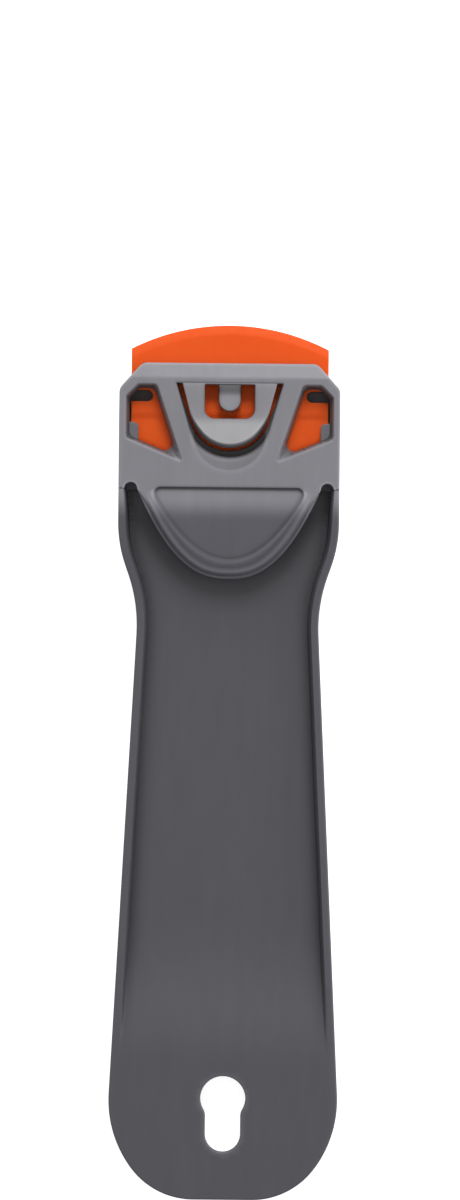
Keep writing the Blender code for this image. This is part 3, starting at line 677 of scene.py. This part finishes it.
def window_corners(c):
    """A right-hand window's corners: outer front, front, inner front, inner rear tip, outer rear."""
    outer = HEAD_HALF - WINDOW_SIDE
    return [
        (outer, behind(c.window_front + WINDOW_CORNER)),
        (outer - WINDOW_CORNER, behind(c.window_front)),
        (c.window_inner, behind(c.window_front)),
        (c.window_tip, behind(c.window_tip_back)),
        (outer, behind(c.window_rear_back)),
    ]


def window_outlines(c):
    """A right-hand window's upper edge, its walls' foot, and the foot less the ledge's corner."""
    small = WINDOW_ROUND / 3
    radii = [WINDOW_ROUND] * 3 + [small, WINDOW_ROUND]
    round_foot = [WINDOW_ROUND] + [FOOT_ROUND] * 4
    corners = window_corners(c)
    outer, rear_y = corners[4]
    foot = moved_in(corners, DRAFT_RUN)
    (tip_x, tip_y), (foot_x, foot_y) = foot[3:]
    ledge_x = outer - LEDGE_WIDTH
    ledge_y = rear_y + LEDGE_LENGTH
    crossing_y = tip_y + (foot_y - tip_y) * (ledge_x - tip_x) / (foot_x - tip_x)
    notch = [(ledge_x, crossing_y), (ledge_x, ledge_y), (foot_x, ledge_y)]
    loops = [
        closed_fillets(corners, radii),
        closed_fillets(foot, round_foot),
        closed_fillets([*foot[:4], *notch], round_foot[:4] + [small, WINDOW_ROUND, small]),
    ]
    return [even(loop, FINE_STEP) for loop in loops]


def mirrored(loop):
    """The outline on the tool's other side, still counter-clockwise."""
    return (loop * (-1, 1))[::-1]


def round_ended(root_half, root_y, radius, end_back):
    """A tapering strip from its root line to a round rear end, its sides touching the end's circle."""
    centre_y = behind(end_back) + radius
    rise = root_y - centre_y
    touch = math.degrees(math.atan2(rise, root_half) - math.acos(radius / math.hypot(rise, root_half)))
    half = np.vstack(([(root_half, root_y)], arc((0, centre_y), radius, touch, -90)))
    return even(both_sides(half), FINE_STEP)


def cover_outline(s, c):
    """The cover: the head's front and sides, an arc round each recess tip, and the lobe's curve."""
    line = behind(c.line_back)
    radius = TIP_WIDTH / 2
    tip_x = HEAD_HALF - TIP_LAND - radius
    half = holder_half(s)
    lobe = lobe_curve(c.line_back, tip_x - radius, LOBE_END_BACK - c.line_back, LOBE_POWER)
    parts = (half[half[:, 1] > line], [(HEAD_HALF, line)], arc((tip_x, line), radius, 0, 180))
    half = np.vstack((*parts, lobe[1 : (len(lobe) + 1) // 2]))
    return even(both_sides(half), FINE_STEP), tip_x, radius


def badge_outline(c):
    """The half-moon of the badge place: a straight front, round corners and a parabola."""
    half_width = HEAD_HALF - TIP_LAND - TIP_WIDTH - BADGE_SIDE
    front_back = c.line_back - BADGE_AHEAD
    curve = lobe_curve(front_back, half_width, LOBE_END_BACK - BADGE_REAR - front_back, 2)
    corner = fillets([(0, curve[0, 1]), curve[0], curve[len(curve) // 8]], [BADGE_CORNER])[1:-1]
    low = curve[(curve[:, 1] < corner[-1, 1]) & (curve[:, 0] >= 0)]
    return even(both_sides(np.vstack((corner, low))), FINE_STEP)


def soft_slope(run, crease):
    """A slope of 1 for run above 0, which starts as a parabola between -crease and crease."""
    return np.where(run < crease, np.clip(run + crease, 0, None) ** 2 / (4 * crease), run)


class SCRAPER_OT_handle(bpy.types.Operator):
    """Handle and lower jaw, one moulding: rims, tray with a run-out, pocket, hollow and keyhole"""

    bl_idname = "scraper.handle"
    bl_label = "Handle"

    def execute(self, context):
        scraper = context.scene.scraper
        s, t, c = scraper.outline, scraper.tray, scraper.cover
        outline = even(both_sides(holder_half(s)), OUTLINE_STEP)
        tray, key, pocket = tray_outline(s, t, c), keyhole_outline(t), pocket_outline(scraper.blade)
        core = inset(outline, CORE_WALL)
        core = core[core[:, 1] < REAR_Y + RUNOUT_START]
        widest = np.argmax(np.linalg.norm(core - np.roll(core, 1, 0), axis=1))
        core = even(np.roll(core, -widest, 0), OUTLINE_STEP)
        seam_y = behind(c.line_back) - SEAM
        guides = round_lines(outline, EDGE_ROUND) + round_lines(key, KEYHOLE_ROUND, -1)
        guides += rings(tray, WALL_RUN, WALL_LINES) + rings(pocket, NEAR_EDGE, STEP_LINES)
        guides += rings(core, CORE_RUN, CORE_LINES)
        lines = [crossing(seam_y + NEAR_EDGE * k, HEAD_HALF) for k in SEAM_LINES]
        lines += [crossing(behind(LIP_BACK), HEAD_HALF)]
        plan = net(outline, [key], guides, lines, GRID)
        points = plan[0]
        y = points[:, 1]
        edge, hole, well = depth(points, outline), -depth(points, key), depth(points, tray)
        ahead = y > seam_y + NEAR_EDGE
        pocketed = ahead & (depth(points, pocket) > NEAR_EDGE)
        rims, floor = rim_height(y, s, c.line_back), floor_height(y, s, t)
        top = rims - round_drop(seam_y - y, FINE_ROUND / 2)
        top[ahead] = SEAT
        top += np.minimum(floor - top, 0) * ease((well / WALL_RUN + WALL_LEAD) / (1 + WALL_LEAD))
        top[pocketed] = JAW
        top -= round_drop(edge, np.where(ahead, FINE_ROUND, EDGE_ROUND))
        top -= round_drop(hole, KEYHOLE_ROUND)
        bottom = round_drop(edge, EDGE_ROUND) + round_drop(hole, KEYHOLE_ROUND)
        bottom += soft_slope(y - behind(LIP_BACK), FINE_ROUND) * LIP_DROP / LIP_BACK
        bottom += (floor - t.web) * ease(depth(points, core) / CORE_RUN)
        foot, lobe = well - WALL_RUN, -depth(points, cover_outline(s, c)[0])
        wall = np.clip((rims - floor) / (s.handle_height - t.web), 0, 1)
        # Painted shade: darker at the foot of the tray's walls, on the floor beside the lobe where its
        # shadow falls, under the cover and down in the blade's pocket
        corner = np.exp(-((np.clip(foot, 0, None) / CORNER_REACH) ** CORNER_POWER))
        corner *= np.clip(1 + foot / WALL_RUN, 0, 1) * wall
        tone = 1 - CORNER_SHADE * corner - LOBE_SHADE * np.exp(-np.abs(lobe) / LOBE_REACH) * (foot > 0)
        tone[ahead] = 1 - HIDDEN_SHADE
        tone[pocketed] -= LEDGE_SHADE
        highlight = painted_highlight((edge, OUTER_HIGHLIGHT), (hole, LINE_HIGHLIGHT), (well, INNER_HIGHLIGHT * wall))
        plastic = moulded_grey("moulded_dark_grey", scraper.finish)
        piece = solid("handle_moulding", plastic, plan, bottom, top, highlight, tone)
        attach(piece, "holder")
        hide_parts("handle")
        return {"FINISHED"}


class SCRAPER_OT_head_cover(bpy.types.Operator):
    """Head cover: front lip, two windows with ledges, tongue opening, badge place and skirted lobe"""

    bl_idname = "scraper.head_cover"
    bl_label = "Head cover"

    def execute(self, context):
        scraper = context.scene.scraper
        s, c = scraper.outline, scraper.cover
        outline, tip_x, tip_radius = cover_outline(s, c)
        full, foot, opened = window_outlines(c)
        root_y, line, dish_y = behind(c.root_back), behind(c.line_back), behind(DISH_BACK)
        opening = round_ended(c.opening_root, root_y, c.opening_arc, c.opening_end)
        stop_arc, stop_end = c.opening_arc - STOP_LEDGE / 4, c.opening_end - STOP_LEDGE
        stop = round_ended(c.opening_root - FINE_ROUND, root_y - FINE_ROUND, stop_arc, stop_end)
        badge = badge_outline(c)
        badge_y = badge[:, 1].max()
        ball = DISH_RADIUS - DISH_DEPTH
        dish_reach = math.sqrt(DISH_RADIUS**2 - ball**2)
        holes = [opened, mirrored(opened), stop]
        guides = round_lines(outline, EDGE_ROUND) + round_lines(inset(outline, LOBE_STEP), LOBE_ROUND)
        guides += rings(outline, LOBE_STEP, LOBE_LINES)
        guides += rings(outline, EDGE_FADE, LAND_LINES, LOBE_STEP + LOBE_ROUND)
        guides += [inset(outline, SKIRT + NEAR_EDGE * 2)]
        guides += [arc((0, dish_y), dish_reach + DISH_EDGE * k, 0, 360 - ARC_STEP) for k in DISH_LINES]
        for loop in (full, mirrored(full)):
            guides += round_lines(loop, WINDOW_EDGE, -1) + [loop]
        for loop in (foot, mirrored(foot)):
            guides += rings(loop, NEAR_EDGE, STEP_LINES)
        for loop in holes:
            guides += round_lines(loop, FINE_ROUND, -1)
        guides += round_lines(opening, OPENING_EDGE, -1) + rings(opening, NEAR_EDGE, STEP_LINES)
        guides += rings(badge, BADGE_ROUND, BADGE_LINES)
        lines = [crossing(line + NEAR_EDGE * k, HEAD_HALF) for k in (0, -2)]
        lines += [crossing(behind(LIP_BACK) + FINE_ROUND * k, HEAD_HALF) for k in LIP_LINES]
        plan = net(outline, holes, guides, lines, FINE_GRID)
        points = plan[0]
        x, y = np.abs(points[:, 0]), points[:, 1]
        right = np.column_stack((x, y))
        edge, gap, stopped = depth(points, outline), -depth(points, opening), -depth(points, stop)
        window, wall, hole = -depth(right, full), -depth(right, foot), -depth(right, opened)
        place, reach = depth(points, badge), np.hypot(x, y - dish_y)
        near_tip = np.hypot(x - tip_x, y - line) < tip_radius + EDGE_ROUND
        lobe = ease((line - y) / LOBE_FADE) * ~near_tip
        wide = ease((behind(OPENING_EDGE_START) - y) / OPENING_EDGE_WIDENING)
        ledge, low = wall < -NEAR_EDGE, gap < -NEAR_EDGE
        top = rim_height(y, s, c.line_back)
        top -= soft_slope(y - behind(LIP_BACK), 2 * FINE_ROUND) * LIP_DROP / LIP_BACK
        top -= BADGE_SINK * ease(place / BADGE_ROUND / 2 + 0.5)
        top -= np.maximum(np.sqrt(DISH_RADIUS**2 - np.minimum(reach, dish_reach) ** 2) - ball, 0)
        radius = np.where(near_tip, FINE_ROUND, EDGE_ROUND + (LOBE_ROUND - EDGE_ROUND) * lobe)
        top -= round_drop(edge - LOBE_STEP * lobe, radius) + round_drop(edge, FINE_ROUND * lobe)
        top -= round_drop(np.maximum(window, 0), WINDOW_EDGE)
        top -= DRAFT_FALL * np.clip(-window / np.maximum(np.maximum(wall, 0) - window, MERGE), 0, 1)
        radius = WINDOW_EDGE + (OPENING_EDGE - WINDOW_EDGE) * wide
        top -= round_drop(gap, radius * np.clip((root_y - y) / WINDOW_EDGE, 0, 1))
        bottom = np.full(len(y), SEAT + SEAM)
        top[ledge] = (bottom + LEDGE_THICKNESS - round_drop(hole, FINE_ROUND))[ledge]
        top[low] = (bottom + STOP_THICKNESS - round_drop(stopped, FINE_ROUND))[low]
        bottom[(y < line - NEAR_EDGE) & (edge < SKIRT + NEAR_EDGE)] = scraper.tray.web + SKIRT_GAP
        for distance in (edge, stopped, hole):
            bottom += round_drop(distance, FINE_ROUND)
        # Painted shade in the badge place's front groove, on the lobe's land, in the finger dish, on the
        # steep walls of windows and opening and on the ledges; the badge place is lighter, fading in
        # behind its front
        front = ease(1 - (badge_y - y) / BADGE_CORNER)
        tone = 1 + BADGE_TONE * (place > 0) * ease((badge_y - y) / BADGE_FADE)
        tone -= GROOVE_SHADE * (1 + front) / 2 * bell(place - GROOVE_WIDTH / 2, GROOVE_WIDTH)
        tone -= LAND_SHADE * lobe * bell(edge - LOBE_STEP * 2 - LOBE_ROUND - LAND_WIDTH, LAND_WIDTH)
        tone -= DISH_SHADE * np.clip((dish_reach - reach) / DISH_EDGE, 0, 1)
        outer = np.clip((x - c.window_tip) / (c.window_inner - c.window_tip), 0, 1)
        shade = INNER_WALL_SHADE + (WALL_SHADE - INNER_WALL_SHADE) * outer
        tone -= shade * np.clip(-window / WALL_REACH, 0, 1)
        tone -= WALL_SHADE * bell(np.maximum(gap, 0), WALL_REACH + (OPENING_REACH - WALL_REACH) * wide)
        tone[ledge] = 1 - LEDGE_SHADE
        highlight = painted_highlight(
            (edge, OUTER_HIGHLIGHT * (1 - lobe)),
            (edge - LOBE_STEP * 2 / 3, LINE_HIGHLIGHT * lobe),
            (edge - LOBE_STEP - LOBE_ROUND, LINE_HIGHLIGHT * lobe),
            (place + GROOVE_WIDTH, LINE_HIGHLIGHT * (1 - front)),
            (reach - dish_reach - DISH_EDGE, DISH_HIGHLIGHT),
            (window, INNER_HIGHLIGHT),
        )
        plastic = moulded_grey("moulded_grey", scraper.finish)
        # Its underside carries an even painted shade
        piece = solid("head_cover_moulding", plastic, plan, bottom, top, highlight, tone, HIDDEN_SHADE)
        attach(piece, "holder")
        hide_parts("head_cover")
        return {"FINISHED"}


class SCRAPER_OT_release_tongue(bpy.types.Operator):
    """Release tongue: a sprung plate, thinner over its hinge at the root, with a U-shaped opening round
    the finger
    """

    bl_idname = "scraper.release_tongue"
    bl_label = "Release tongue"

    def execute(self, context):
        scraper = context.scene.scraper
        c, latch = scraper.cover, scraper.latch
        root_y = behind(c.root_back)
        root_half, radius = c.opening_root - SIDE_SLOT, c.opening_arc - ARC_INSET
        outline = round_ended(root_half, root_y, radius, TONGUE_END_BACK + TONGUE_FOOT)
        half = FINGER_HALF + latch.u_leg
        front_y, rear_y = behind(U_FRONT), behind(FINGER_END_BACK + U_REAR)
        corners = [(half, front_y), (-half, front_y), (-half, rear_y), (half, rear_y)]
        opening = even(closed_fillets(corners, [FINE_ROUND] * 2 + [U_CORNER] * 2), FINE_STEP)
        guides = round_lines(outline, TONGUE_FOOT) + round_lines(opening, LATCH_EDGE, -1)
        guides += round_lines(inset(outline, TONGUE_FOOT), LATCH_EDGE)
        plan = net(outline, [opening], guides, [], FINE_GRID)
        points = plan[0]
        y = points[:, 1]
        edge, gap = depth(points, outline), -depth(points, opening)
        lean = TONGUE_FOOT * ease((behind(FOOT_START) - y) / FOOT_WIDENING)
        steep = np.clip(lean - edge, 0, None) / TONGUE_FOOT
        run = (root_y - y) / (root_y - TONGUE_LOW.y)
        bend = ease((root_y - y) / latch.hinge_run)
        radius = LATCH_EDGE * np.clip((root_y - y) / LATCH_EDGE, 0, 1)
        top = HEAD_TOP - TONGUE_DIP * np.sin(math.pi * np.clip(run, 0, 1)) ** 2
        top -= round_drop(edge - lean, radius) + round_drop(gap, radius)
        top -= (FOOT_FALL - LATCH_EDGE) * steep
        bottom = HEAD_TOP - HINGE_THICKNESS - (latch.thickness - HINGE_THICKNESS) * bend
        bottom += round_drop(edge, radius / 3) + round_drop(gap, radius / 3)
        highlight = painted_highlight((edge - lean - LATCH_EDGE, INNER_HIGHLIGHT), (gap, INNER_HIGHLIGHT))
        # Painted shade on the steep foot, round the U's edges and on the hidden underside
        steep = np.clip((steep - STEEP_FROM) / STEEP_RUN, 0, 1)
        tone = 1 - WALL_SHADE * np.maximum(steep, bell(gap, WALL_REACH))
        plastic = moulded_light_grey("moulded_tongue_grey", scraper.finish)
        piece = solid("release_tongue_moulding", plastic, plan, bottom, top, highlight, tone, HIDDEN_SHADE)
        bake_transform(piece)
        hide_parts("release_tongue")
        return {"FINISHED"}


class SCRAPER_OT_latch_finger(bpy.types.Operator):
    """Latch finger: it bends down from its root and drops a peg into the blade's slot"""

    bl_idname = "scraper.latch_finger"
    bl_label = "Latch finger"

    def execute(self, context):
        scraper = context.scene.scraper
        latch, blade = scraper.latch, scraper.blade
        root_y, end_y = behind(U_FRONT), behind(FINGER_END_BACK)
        end = arc((0, end_y + FINGER_HALF), FINGER_HALF, 0, -90)
        outline = even(both_sides(np.vstack(([(FINGER_HALF, root_y)], end))), FINE_STEP)
        blade_top, foot = BLADE_HIGH.z, FINGER_LOW.z
        hold_y = BLADE_Y - blade.slot_half_length + PEG_GAP
        axis_y, axis_z = frame["joints"][0]["pos_m"][1:]
        foot_y = hold_y + (blade_top - foot) * (axis_z - blade_top) / (axis_y - hold_y)
        half, heel_y = PEG_HALF, hold_y + PEG_LENGTH
        corners = np.array([(half, heel_y), (-half, heel_y), (-half, hold_y), (half, hold_y)])
        peg = even(corners, FINE_STEP)
        guides = round_lines(outline, LATCH_EDGE) + rings(peg, NEAR_EDGE, STEP_LINES)
        guides += [inset(peg, FINE_ROUND)]
        plan = net(outline, [], guides, [crossing(foot_y, FINGER_HALF)], FINE_GRID)
        points = plan[0]
        y = points[:, 1]
        edge, inner = depth(points, outline), depth(points, peg)
        drop = ROOT_DROP + (FINGER_DROP - ROOT_DROP) * ease((root_y - y) / BEND_RUN)
        radius = LATCH_EDGE * np.clip((root_y - y) / LATCH_EDGE, 0, 1)
        top = HEAD_TOP - drop - round_drop(edge, radius)
        bottom = HEAD_TOP - drop - FINGER_THICKNESS + round_drop(edge, radius / 2)
        side_z = np.interp(
            y,
            (hold_y, foot_y, foot_y + PEG_LENGTH / 4, heel_y),
            (blade_top, foot, foot, HEAD_TOP - FINGER_DROP - FINGER_THICKNESS),
        )
        down = inner > NEAR_EDGE
        bottom[down] = np.minimum(bottom, side_z + round_drop(inner, FINE_ROUND))[down]
        # Painted shade at the root, where it bends down under the lip, on its edge walls and on its
        # hidden underside
        tone = 1 - FINGER_SHADE * (1 - ease((root_y - y) / BEND_RUN - FINGER_SHADE))
        tone -= WALL_SHADE * bell(edge, WALL_REACH) * (y < root_y - LATCH_EDGE)
        plastic = moulded_light_grey("moulded_finger_grey", scraper.finish)
        piece = solid("latch_finger_moulding", plastic, plan, bottom, top, 0 * edge, tone, HIDDEN_SHADE)
        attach(piece, "release_tongue")
        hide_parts("latch_finger")
        return {"FINISHED"}


class SCRAPER_OT_blade(bpy.types.Operator):
    """Blade: bowed and bevelled on both edges, with a raised band, a centre slot and side notches"""

    bl_idname = "scraper.blade"
    bl_label = "Blade"

    def execute(self, context):
        scraper = context.scene.scraper
        blade = scraper.blade
        half_depth = (BLADE_HIGH.y - BLADE_LOW.y) / 2
        run = np.linspace(0, BLADE_HALF, round(BLADE_HALF / FINE_STEP))
        front = np.column_stack((run, BLADE_Y + half_depth - blade_fall(run, blade)))
        rear = front[::-1] * (1, -1) + (0, 2 * BLADE_Y)
        centre = (BLADE_HALF - blade.notch_depth + blade.notch_half, BLADE_Y)
        upper, lower = (BLADE_HALF, BLADE_Y + blade.notch_half), (BLADE_HALF, BLADE_Y - blade.notch_half)
        notch = np.vstack(([upper], arc(centre, blade.notch_half, 90, 270), [lower]))
        outline = even(both_sides(np.vstack((front, notch, rear))), FINE_STEP)
        radius, ends = blade.slot_half_width, blade.slot_half_length - blade.slot_half_width
        turns = (1, 0, 180), (-1, 180, 360)
        slot = [arc((0, BLADE_Y + side * ends), radius, start, end) for side, start, end in turns]
        slot = even(np.vstack(slot), FINE_STEP)
        guides = round_lines(outline, FINE_ROUND) + round_lines(slot, FINE_ROUND, -1)
        steps = [BAND_HALF + BAND_LEAN * k for k in BAND_LINES]
        lines = [crossing(BLADE_Y + side * step, BLADE_HALF) for side in (-1, 1) for step in steps]
        across = np.arange(-BLADE_HALF, BLADE_HALF, LINE_STEP)
        for side in (-1, 1):
            for k in BEVEL_LINES:
                reach = half_depth - BEVEL * k - blade_fall(across, blade)
                lines.append(np.column_stack((across, BLADE_Y + side * reach)))
        plan = net(outline, [slot], guides, lines, FINE_GRID)
        points = plan[0]
        away = np.abs(points[:, 1] - BLADE_Y)
        edge, gap = depth(points, outline), -depth(points, slot)
        inward = half_depth - blade_fall(points[:, 0], blade) - away
        body, thin, band = blade.thickness / 2, BLADE_EDGE / 2, BLADE_HIGH.z - BLADE_Z
        short = soft_slope(BEVEL - inward, BEVEL / 5) / BEVEL
        half = body - (body - thin) * np.minimum(short, 1)
        half += (band - body) * ease(1 + (BAND_HALF - away) / BAND_LEAN)
        half -= round_drop(edge, np.minimum(FINE_ROUND, half / 2)) + round_drop(gap, FINE_ROUND)
        highlight = painted_highlight((edge, INNER_HIGHLIGHT), (gap, INNER_HIGHLIGHT))
        plastic = moulded_orange("moulded_orange", scraper.finish)
        piece = solid("blade_moulding", plastic, plan, BLADE_Z - half, BLADE_Z + half, highlight)
        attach(piece, "blade")
        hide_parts("blade")
        return {"FINISHED"}


def add(tree, kind, values, links=()):
    """A shader node with its settings and input values, and inputs joined to outputs.

    A node among the links stands for its first output.
    """
    node = tree.nodes.new("ShaderNode" + kind)
    for key, value in values.items():
        if isinstance(key, int) or key in node.inputs:
            node.inputs[key].default_value = value
        else:
            setattr(node, key, value)
    for key, source in dict(links).items():
        if isinstance(source, bpy.types.Node):
            source = source.outputs[0]
        tree.links.new(source, node.inputs[key])
    return node


def moulded_plastic(name, colours, backs, mottle, roughness, grain_height):
    """A moulded plastic that turns from one colour to another between two places along the tool.

    Flow mottles it a little, the mould's spark-eroded steel gives it its grain, and the meshes'
    painted_highlight and tone attributes paint highlights on edges and paint shade in corners and
    recesses.
    """
    material = bpy.data.materials.new(name)
    material.use_nodes = True
    tree = material.node_tree
    place = add(tree, "TexCoord", {}).outputs["Object"]
    along = add(tree, "SeparateXYZ", {}, {0: place}).outputs["Y"]
    first, last = (behind(back) for back in backs)
    span = {"interpolation_type": "SMOOTHSTEP", "From Min": first, "From Max": last}
    turn = add(tree, "MapRange", span, {"Value": along})
    mix = {"operation": "MULTIPLY_ADD", 1: np.subtract(colours[1], colours[0]), 2: tuple(colours[0])}
    base = add(tree, "VectorMath", mix, {0: turn})
    cloud = add(tree, "TexNoise", {"Scale": 1 / CLOUD_SIZE, "Detail": 3.0}, {"Vector": place})
    drawn = add(tree, "Mapping", {"Scale": (1, FLOW_STRETCH, 1)}, {"Vector": place})
    flow = add(tree, "TexNoise", {"Scale": 1 / FLOW_WIDTH, "Detail": 2.0}, {"Vector": drawn})
    streaks = add(tree, "Math", {"operation": "MULTIPLY"}, {0: cloud, 1: flow})
    span = dict(zip(RANGE, (*STREAK_SPAN, 1 - mottle, 1 + mottle)))
    light = add(tree, "MapRange", span, {"Value": streaks})
    # Painted highlights on edges and painted shade in corners, recesses and hidden faces scale the
    # colour
    highlit = add(tree, "Attribute", {"attribute_name": "painted_highlight"}).outputs["Fac"]
    tone = add(tree, "Attribute", {"attribute_name": "tone"}).outputs["Fac"]
    edge = add(tree, "Math", {"operation": "ADD"}, {0: highlit, 1: light})
    level = add(tree, "Math", {"operation": "MULTIPLY"}, {0: edge, 1: tone})
    tint = add(tree, "VectorMath", {"operation": "SCALE"}, {0: base, "Scale": level})
    span = dict(zip(RANGE, (*CLOUD_SPAN, roughness - SATIN_BELOW, roughness + SATIN_ABOVE)))
    satin = add(tree, "MapRange", span, {"Value": cloud})
    grain = add(tree, "TexNoise", {"Scale": 1 / GRAIN_SIZE, "Detail": 1.0}, {"Vector": place})
    bump = add(tree, "Bump", {"Strength": 1.0, "Distance": grain_height}, {"Height": grain})
    for key, node in (("Base Color", tint), ("Roughness", satin), ("Normal", bump)):
        tree.links.new(node.outputs[0], tree.nodes["Principled BSDF"].inputs[key])
    return material


def moulded_grey(name, finish):
    """Grey ABS, injection moulded: satin, with faint flow streaks, and a sheen painted into the head's
    colour to make it paler.
    """
    colours, backs = (finish.handle_colour, finish.head_colour), (DARK_FROM, SHEEN_UNTIL)
    return moulded_plastic(name, colours, backs, GREY_MOTTLE, GREY_ROUGHNESS, GREY_GRAIN)


def moulded_light_grey(name, finish):
    """The same ABS where it is thin and flexes, paler towards the tongue's free end, where light is
    painted into its colour.
    """
    colours, backs = (finish.tongue_end_colour, finish.tongue_colour), (LIT_END_FROM, TONGUE_UNTIL)
    return moulded_plastic(name, colours, backs, GREY_MOTTLE, GREY_ROUGHNESS, GREY_GRAIN)


def moulded_orange(name, finish):
    """Orange polycarbonate, injection moulded: smoother than the holder, and light soaks into it."""
    colours, backs = (finish.blade_colour, finish.blade_colour), (DARK_FROM, SHEEN_UNTIL)
    material = moulded_plastic(name, colours, backs, ORANGE_MOTTLE, ORANGE_ROUGHNESS, ORANGE_GRAIN)
    inputs = material.node_tree.nodes["Principled BSDF"].inputs
    inputs["Specular IOR Level"].default_value = ORANGE_GLOSS
    inputs["Subsurface Weight"].default_value = ORANGE_SOAK
    inputs["Subsurface Radius"].default_value = ORANGE_SPREAD
    inputs["Subsurface Scale"].default_value = ORANGE_REACH
    return material


class SCRAPER_OT_stage(bpy.types.Operator):
    """Table, surround, two soft lamps and the camera above"""

    bl_idname = "scraper.stage"
    bl_label = "Stage"

    def execute(self, context):
        scene = context.scene
        stage = scene.scraper.stage
        scene.view_settings.view_transform = "Standard"
        table(scene.scraper.finish.floor_colour)
        surround(scene, stage.sky)
        target = (VIEW_SIDE, VIEW_MIDDLE, 0)
        soft_lamp("key_lamp", KEY_PLACE, target, KEY_SIZE, stage.key)
        soft_lamp("fill_lamp", FILL_PLACE, target, FILL_SIZE, stage.fill)
        camera = bpy.data.objects.new("camera", bpy.data.cameras.new("camera"))
        scene.collection.objects.link(camera)
        camera.data.lens = stage.lens
        camera.data.clip_start = MM
        distance = stage.view_height / 2 * stage.lens / (camera.data.sensor_width / 2)
        camera.location = (*target[:2], distance + scene.scraper.outline.handle_height)
        camera.rotation_euler = (0, 0, stage.tilt)
        scene.camera = camera
        return {"FINISHED"}


def table(colour_value):
    """A round table just under the tool: it rises as the cube of the distance past its flat middle."""
    steps = np.linspace(0, 1, TABLE_RINGS)[1:, None]
    angles = np.linspace(0, 2 * math.pi, TABLE_SPOKES, endpoint=False)
    radii = TABLE_RADIUS * steps
    rise = TABLE_RISE * np.clip((steps - TABLE_FLAT) / (1 - TABLE_FLAT), 0, 1) ** 3 - TABLE_GAP
    ring = np.stack((radii * np.cos(angles), radii * np.sin(angles), rise + 0 * angles), -1)
    ring = ring.reshape(-1, 3)
    index = np.arange(1, len(ring) + 1).reshape(-1, TABLE_SPOKES)
    inner, outer = index[:-1], index[1:]
    quads = np.stack((inner, outer, np.roll(outer, -1, 1), np.roll(inner, -1, 1)), -1).reshape(-1, 4)
    fan = np.column_stack((0 * index[0], index[0], np.roll(index[0], -1)))
    mesh = bpy.data.meshes.new("table")
    mesh.from_pydata([(0, 0, -TABLE_GAP), *ring.tolist()], [], fan.tolist() + quads.tolist())
    mesh.shade_smooth()
    material = bpy.data.materials.new("white_laminate")
    material.use_nodes = True
    tree = material.node_tree
    inputs = tree.nodes["Principled BSDF"].inputs
    inputs["Base Color"].default_value = (*colour_value, 1)
    inputs["Roughness"].default_value = TABLE_ROUGHNESS
    inputs["Emission Color"].default_value = (1, 1, 1, 1)
    seen = add(tree, "LightPath", {}).outputs["Is Camera Ray"]
    glow = add(tree, "Math", {"operation": "MULTIPLY", 1: TABLE_GLOW}, {0: seen})
    tree.links.new(glow.outputs[0], inputs["Emission Strength"])
    mesh.materials.append(material)
    piece = bpy.data.objects.new("table", mesh)
    bpy.context.scene.collection.objects.link(piece)


def surround(scene, strength):
    """A white world: full white where it is seen or mirrored, weaker as light."""
    world = bpy.data.worlds.new("white_surround")
    world.use_nodes = True
    scene.world = world
    tree = world.node_tree
    background = tree.nodes["Background"]
    background.inputs["Color"].default_value = (1, 1, 1, 1)
    ray = add(tree, "LightPath", {})
    seen = ray.outputs["Is Camera Ray"]
    for kind in ("Is Glossy Ray", "Is Transmission Ray"):
        seen = add(tree, "Math", {"operation": "MAXIMUM"}, {0: seen, 1: ray.outputs[kind]})
    level = add(tree, "MapRange", {"To Min": strength, "To Max": 1.0}, {"Value": seen})
    tree.links.new(level.outputs[0], background.inputs["Strength"])


def soft_lamp(name, place, target, size, power):
    """A square area lamp that faces a target."""
    data = bpy.data.lights.new(name, "AREA")
    data.size = size
    data.energy = power
    lamp = bpy.data.objects.new(name, data)
    bpy.context.scene.collection.objects.link(lamp)
    lamp.location = place
    lamp.rotation_euler = (lamp.location - Vector(target)).to_track_quat("Z", "Y").to_euler()


class ScraperSettings(bpy.types.PropertyGroup):
    """All of the scraper's settings."""

    outline: bpy.props.PointerProperty(type=ScraperOutline)
    tray: bpy.props.PointerProperty(type=ScraperTray)
    cover: bpy.props.PointerProperty(type=ScraperCover)
    latch: bpy.props.PointerProperty(type=ScraperLatch)
    blade: bpy.props.PointerProperty(type=ScraperBlade)
    finish: bpy.props.PointerProperty(type=ScraperFinish)
    stage: bpy.props.PointerProperty(type=ScraperStage)


class SCRAPER_PT_panel(bpy.types.Panel):
    """Builds the scraper's pieces and lists its settings"""

    bl_idname = "SCRAPER_PT_panel"
    bl_label = "Hand scraper"
    bl_space_type = "VIEW_3D"
    bl_region_type = "UI"
    bl_category = "Scraper"

    def draw(self, context):
        for operator in OPERATORS:
            self.layout.operator(operator.bl_idname)
        for group in context.scene.scraper.bl_rna.properties:
            if group.type == "POINTER":
                box = self.layout.box()
                box.label(text=group.name)
                settings = context.scene.scraper.path_resolve(group.identifier)
                for setting in settings.bl_rna.properties:
                    if setting.identifier not in ("rna_type", "name"):
                        box.prop(settings, setting.identifier)


GROUPS = (
    ScraperOutline,
    ScraperTray,
    ScraperCover,
    ScraperLatch,
    ScraperBlade,
    ScraperFinish,
    ScraperStage,
    ScraperSettings,
)
OPERATORS = (
    SCRAPER_OT_handle,
    SCRAPER_OT_head_cover,
    SCRAPER_OT_release_tongue,
    SCRAPER_OT_latch_finger,
    SCRAPER_OT_blade,
    SCRAPER_OT_stage,
)


def register():
    for kind in (*GROUPS, *OPERATORS, SCRAPER_PT_panel):
        bpy.utils.register_class(kind)
    bpy.types.Scene.scraper = bpy.props.PointerProperty(type=ScraperSettings)


def unregister():
    del bpy.types.Scene.scraper
    for kind in reversed((*GROUPS, *OPERATORS, SCRAPER_PT_panel)):
        bpy.utils.unregister_class(kind)


def main():
    """Builds every piece and the stage."""
    register()
    bpy.ops.scraper.handle()
    bpy.ops.scraper.head_cover()
    bpy.ops.scraper.release_tongue()
    bpy.ops.scraper.latch_finger()
    bpy.ops.scraper.blade()
    bpy.ops.scraper.stage()


if __name__ == "__main__":
    main()
